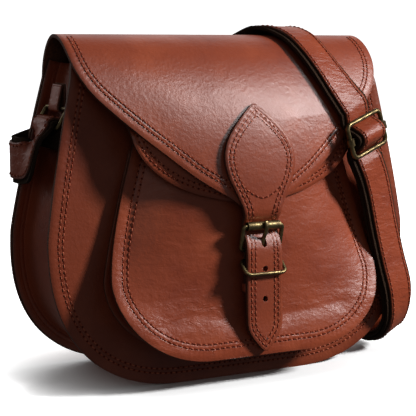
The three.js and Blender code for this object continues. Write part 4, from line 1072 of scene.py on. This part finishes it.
# Slide: a rounded brass wire frame with a loose bar across it. The strap runs over the bar, and the
# bar ends in an eye round each side of the frame.
slide_loop = loop_points(SLIDE_MIDDLE, SLIDE_ACROSS, SLIDE_DOWN, SLIDE["half"], SLIDE["rise"],
                         SLIDE["corner"])
bag_piece("slide_wire", wire(slide_loop, SLIDE["wire"] * MM, True, 16), [BRASS], "brass", "slide_frame")
slide_ends = [SLIDE_MIDDLE + SLIDE_ACROSS * side * (SLIDE["half"] - SLIDE["wire"]) * MM for side in (-1, 1)]
bar = wire([slide_ends[0].lerp(slide_ends[1], k / 10) for k in range(11)], SLIDE["bar"] * MM, False, 16)
for side in (-1, 1):
    sleeve = Matrix((SLIDE_ACROSS, SLIDE_OUT, SLIDE_DOWN)).transposed().to_4x4()
    sleeve.translation = SLIDE_MIDDLE + SLIDE_ACROSS * side * SLIDE["half"] * MM
    bmesh.ops.create_cone(bar, segments=24, radius1=SLIDE["eye"] * MM, radius2=SLIDE["eye"] * MM,
                          depth=2 * SLIDE["eye_half"] * MM, cap_ends=True, matrix=sleeve)
bag_piece("slide_bar_brass", bar, [BRASS], "brass", "slide_bar")


# Floor: plain white paper, turned up far away all round. It glows white, with a painted shadow where
# ambient occlusion dims its glow close to the bag, and throws no light back on the bag.
FLOOR = dict(flat=2.6, radius=0.8, top=2.4, steps=12, turns=64, clouds=40.0, painted_shadow_reach=0.05,
             painted_shadow_power=4.2)
floor_material, floor_tree, floor_shader = new_material("white_paper")
paper = add(floor_tree, "ShaderNodeTexNoise", {"Scale": FLOOR["clouds"]})
tone = add(floor_tree, "ShaderNodeValToRGB", {"Fac": paper.outputs["Fac"]}, stops=[
    (0.4, linear("#f4f4f4")), (0.6, linear("#f8f8f8"))])
floor_tree.links.new(tone.outputs["Color"], floor_shader.inputs["Base Color"])
floor_shader.inputs["Roughness"].default_value = 0.9
# Painted shadow: ambient occlusion near the bag dims the floor's glow, darkest at the contact.
painted_shadow_occlusion = add(floor_tree, "ShaderNodeAmbientOcclusion", {"Distance": FLOOR["painted_shadow_reach"]}, samples=16)
painted_shadow_glow = add(floor_tree, "ShaderNodeMath", {0: painted_shadow_occlusion.outputs["AO"], 1: FLOOR["painted_shadow_power"]},
               operation="POWER")
floor_tree.links.new(painted_shadow_glow.outputs[0], floor_shader.inputs["Emission Strength"])
floor_shader.inputs["Emission Color"].default_value = (1, 1, 1, 1)
sweep = bmesh.new()
profile = [(0.0, 0.0)]
for k in range(FLOOR["steps"] + 1):
    turn = math.pi / 2 * k / FLOOR["steps"]
    profile.append((FLOOR["flat"] + FLOOR["radius"] * math.sin(turn),
                    FLOOR["radius"] * (1 - math.cos(turn))))
profile.append((FLOOR["flat"] + FLOOR["radius"], FLOOR["top"]))
corners = [sweep.verts.new((x, 0, z)) for x, z in profile]
edges = [sweep.edges.new(pair) for pair in zip(corners, corners[1:])]
bmesh.ops.spin(sweep, geom=edges, axis=(0, 0, 1), cent=(0, 0, 0), angle=2 * math.pi, steps=FLOOR["turns"],
               use_merge=True)
bmesh.ops.remove_doubles(sweep, verts=sweep.verts[:], dist=1e-5)
bmesh.ops.recalc_face_normals(sweep, faces=sweep.faces[:])
if next(iter(sweep.faces)).normal.z < 0:
    bmesh.ops.reverse_faces(sweep, faces=sweep.faces[:])
floor_mesh = bpy.data.meshes.new("floor")
sweep.to_mesh(floor_mesh)
sweep.free()
floor_mesh.materials.append(floor_material)
floor_mesh.shade_smooth()
floor = bpy.data.objects.new("floor", floor_mesh)
bpy.context.scene.collection.objects.link(floor)
floor.visible_diffuse = False
floor.visible_glossy = False
floor.visible_shadow = False

# Light: a small soft box at the front right, a sheen box near it that only glosses the flap, the tab,
# buckle and keeper, wide boxes at the front left and behind, and a little light from all round. Only a
# share of a box's power shows in gloss; the rest lights the colour, so that the leather isn't wet.
KEY = dict(way=(0.74, -0.47, 0.5), far=1.6, size=0.3, power=45, gloss=0.4)
SHEEN = dict(way=(0.45, -0.59, 0.67), far=1.6, size=0.5, power=17, gloss=1.0)
FILL = dict(way=(-0.38, -0.84, 0.4), far=2.0, size=1.2, power=3, gloss=0.4)
BACK_LEFT = dict(way=(-0.46, 0.8, 0.4), far=2.0, size=1.2, power=9, gloss=0.45)
BACK_RIGHT = dict(way=(0.4, 0.74, 0.54), far=2.0, size=1.4, power=18, gloss=0.22)
SHEEN_ON = ("back_and_flap_leather", "closure_tab_leather", "buckle_frame_wire", "roller_sleeve",
            "prong_wire", "keeper_wire")
WORLD_LIGHT = 0.09
aim = place(0, 0, 110)
polished = bpy.data.collections.new("polished")
for name in SHEEN_ON:
    polished.objects.link(bpy.data.objects[name])
for name, lamp in (("key", KEY), ("sheen", SHEEN), ("fill", FILL), ("back_left", BACK_LEFT),
                   ("back_right", BACK_RIGHT)):
    for finish, share in (("gloss", lamp["gloss"]), ("matt", 1 - lamp["gloss"])):
        if share == 0:
            continue
        data = bpy.data.lights.new(f"{name}_{finish}_box", "AREA")
        data.shape = "DISK"
        data.size = lamp["size"]
        data.energy = lamp["power"] * share
        light = bpy.data.objects.new(data.name, data)
        light.location = aim + Vector(lamp["way"]).normalized() * lamp["far"]
        light.rotation_euler = (light.location - aim).to_track_quat("Z", "Y").to_euler()
        light.visible_glossy = finish == "gloss"
        if lamp is SHEEN:
            light.visible_diffuse = False
            light.light_linking.receiver_collection = polished
        bpy.context.scene.collection.objects.link(light)
world = bpy.data.worlds.new("studio")
world.use_nodes = True
world.node_tree.nodes["Background"].inputs["Color"].default_value = (1, 1, 1, 1)
world.node_tree.nodes["Background"].inputs["Strength"].default_value = WORLD_LIGHT
bpy.context.scene.world = world
bpy.context.scene.view_settings.view_transform = "Standard"

# Camera: at the photo's angle, to the left of the bag's middle and a little above it. Its focal length
# and the shift of its axis are in pixels of the photo.
IMAGE = 416
CAMERA = dict(at=(-446.8, -773.0, 234.7), aim=(0, 3, 103.6), focal=1357.54, roll=0.9, axis_x=4.51,
              axis_y=-0.2)
camera_data = bpy.data.cameras.new("camera")
camera_data.sensor_fit = "HORIZONTAL"
camera_data.sensor_width = 36
camera_data.lens = CAMERA["focal"] / IMAGE * camera_data.sensor_width
camera_data.shift_x = -CAMERA["axis_x"] / IMAGE
camera_data.shift_y = CAMERA["axis_y"] / IMAGE
camera_data.clip_start = 0.05
camera = bpy.data.objects.new("camera", camera_data)
view = (place(*CAMERA["aim"]) - place(*CAMERA["at"])).normalized()
level = view.cross(Vector((0, 0, 1))).normalized()
upright = level.cross(view)
roll = math.radians(CAMERA["roll"])
right = level * math.cos(roll) + upright * math.sin(roll)
up = upright * math.cos(roll) - level * math.sin(roll)
camera.matrix_world = Matrix((right, up, -view)).transposed().to_4x4()
camera.location = place(*CAMERA["at"])
bpy.context.scene.collection.objects.link(camera)
bpy.context.scene.camera = camera
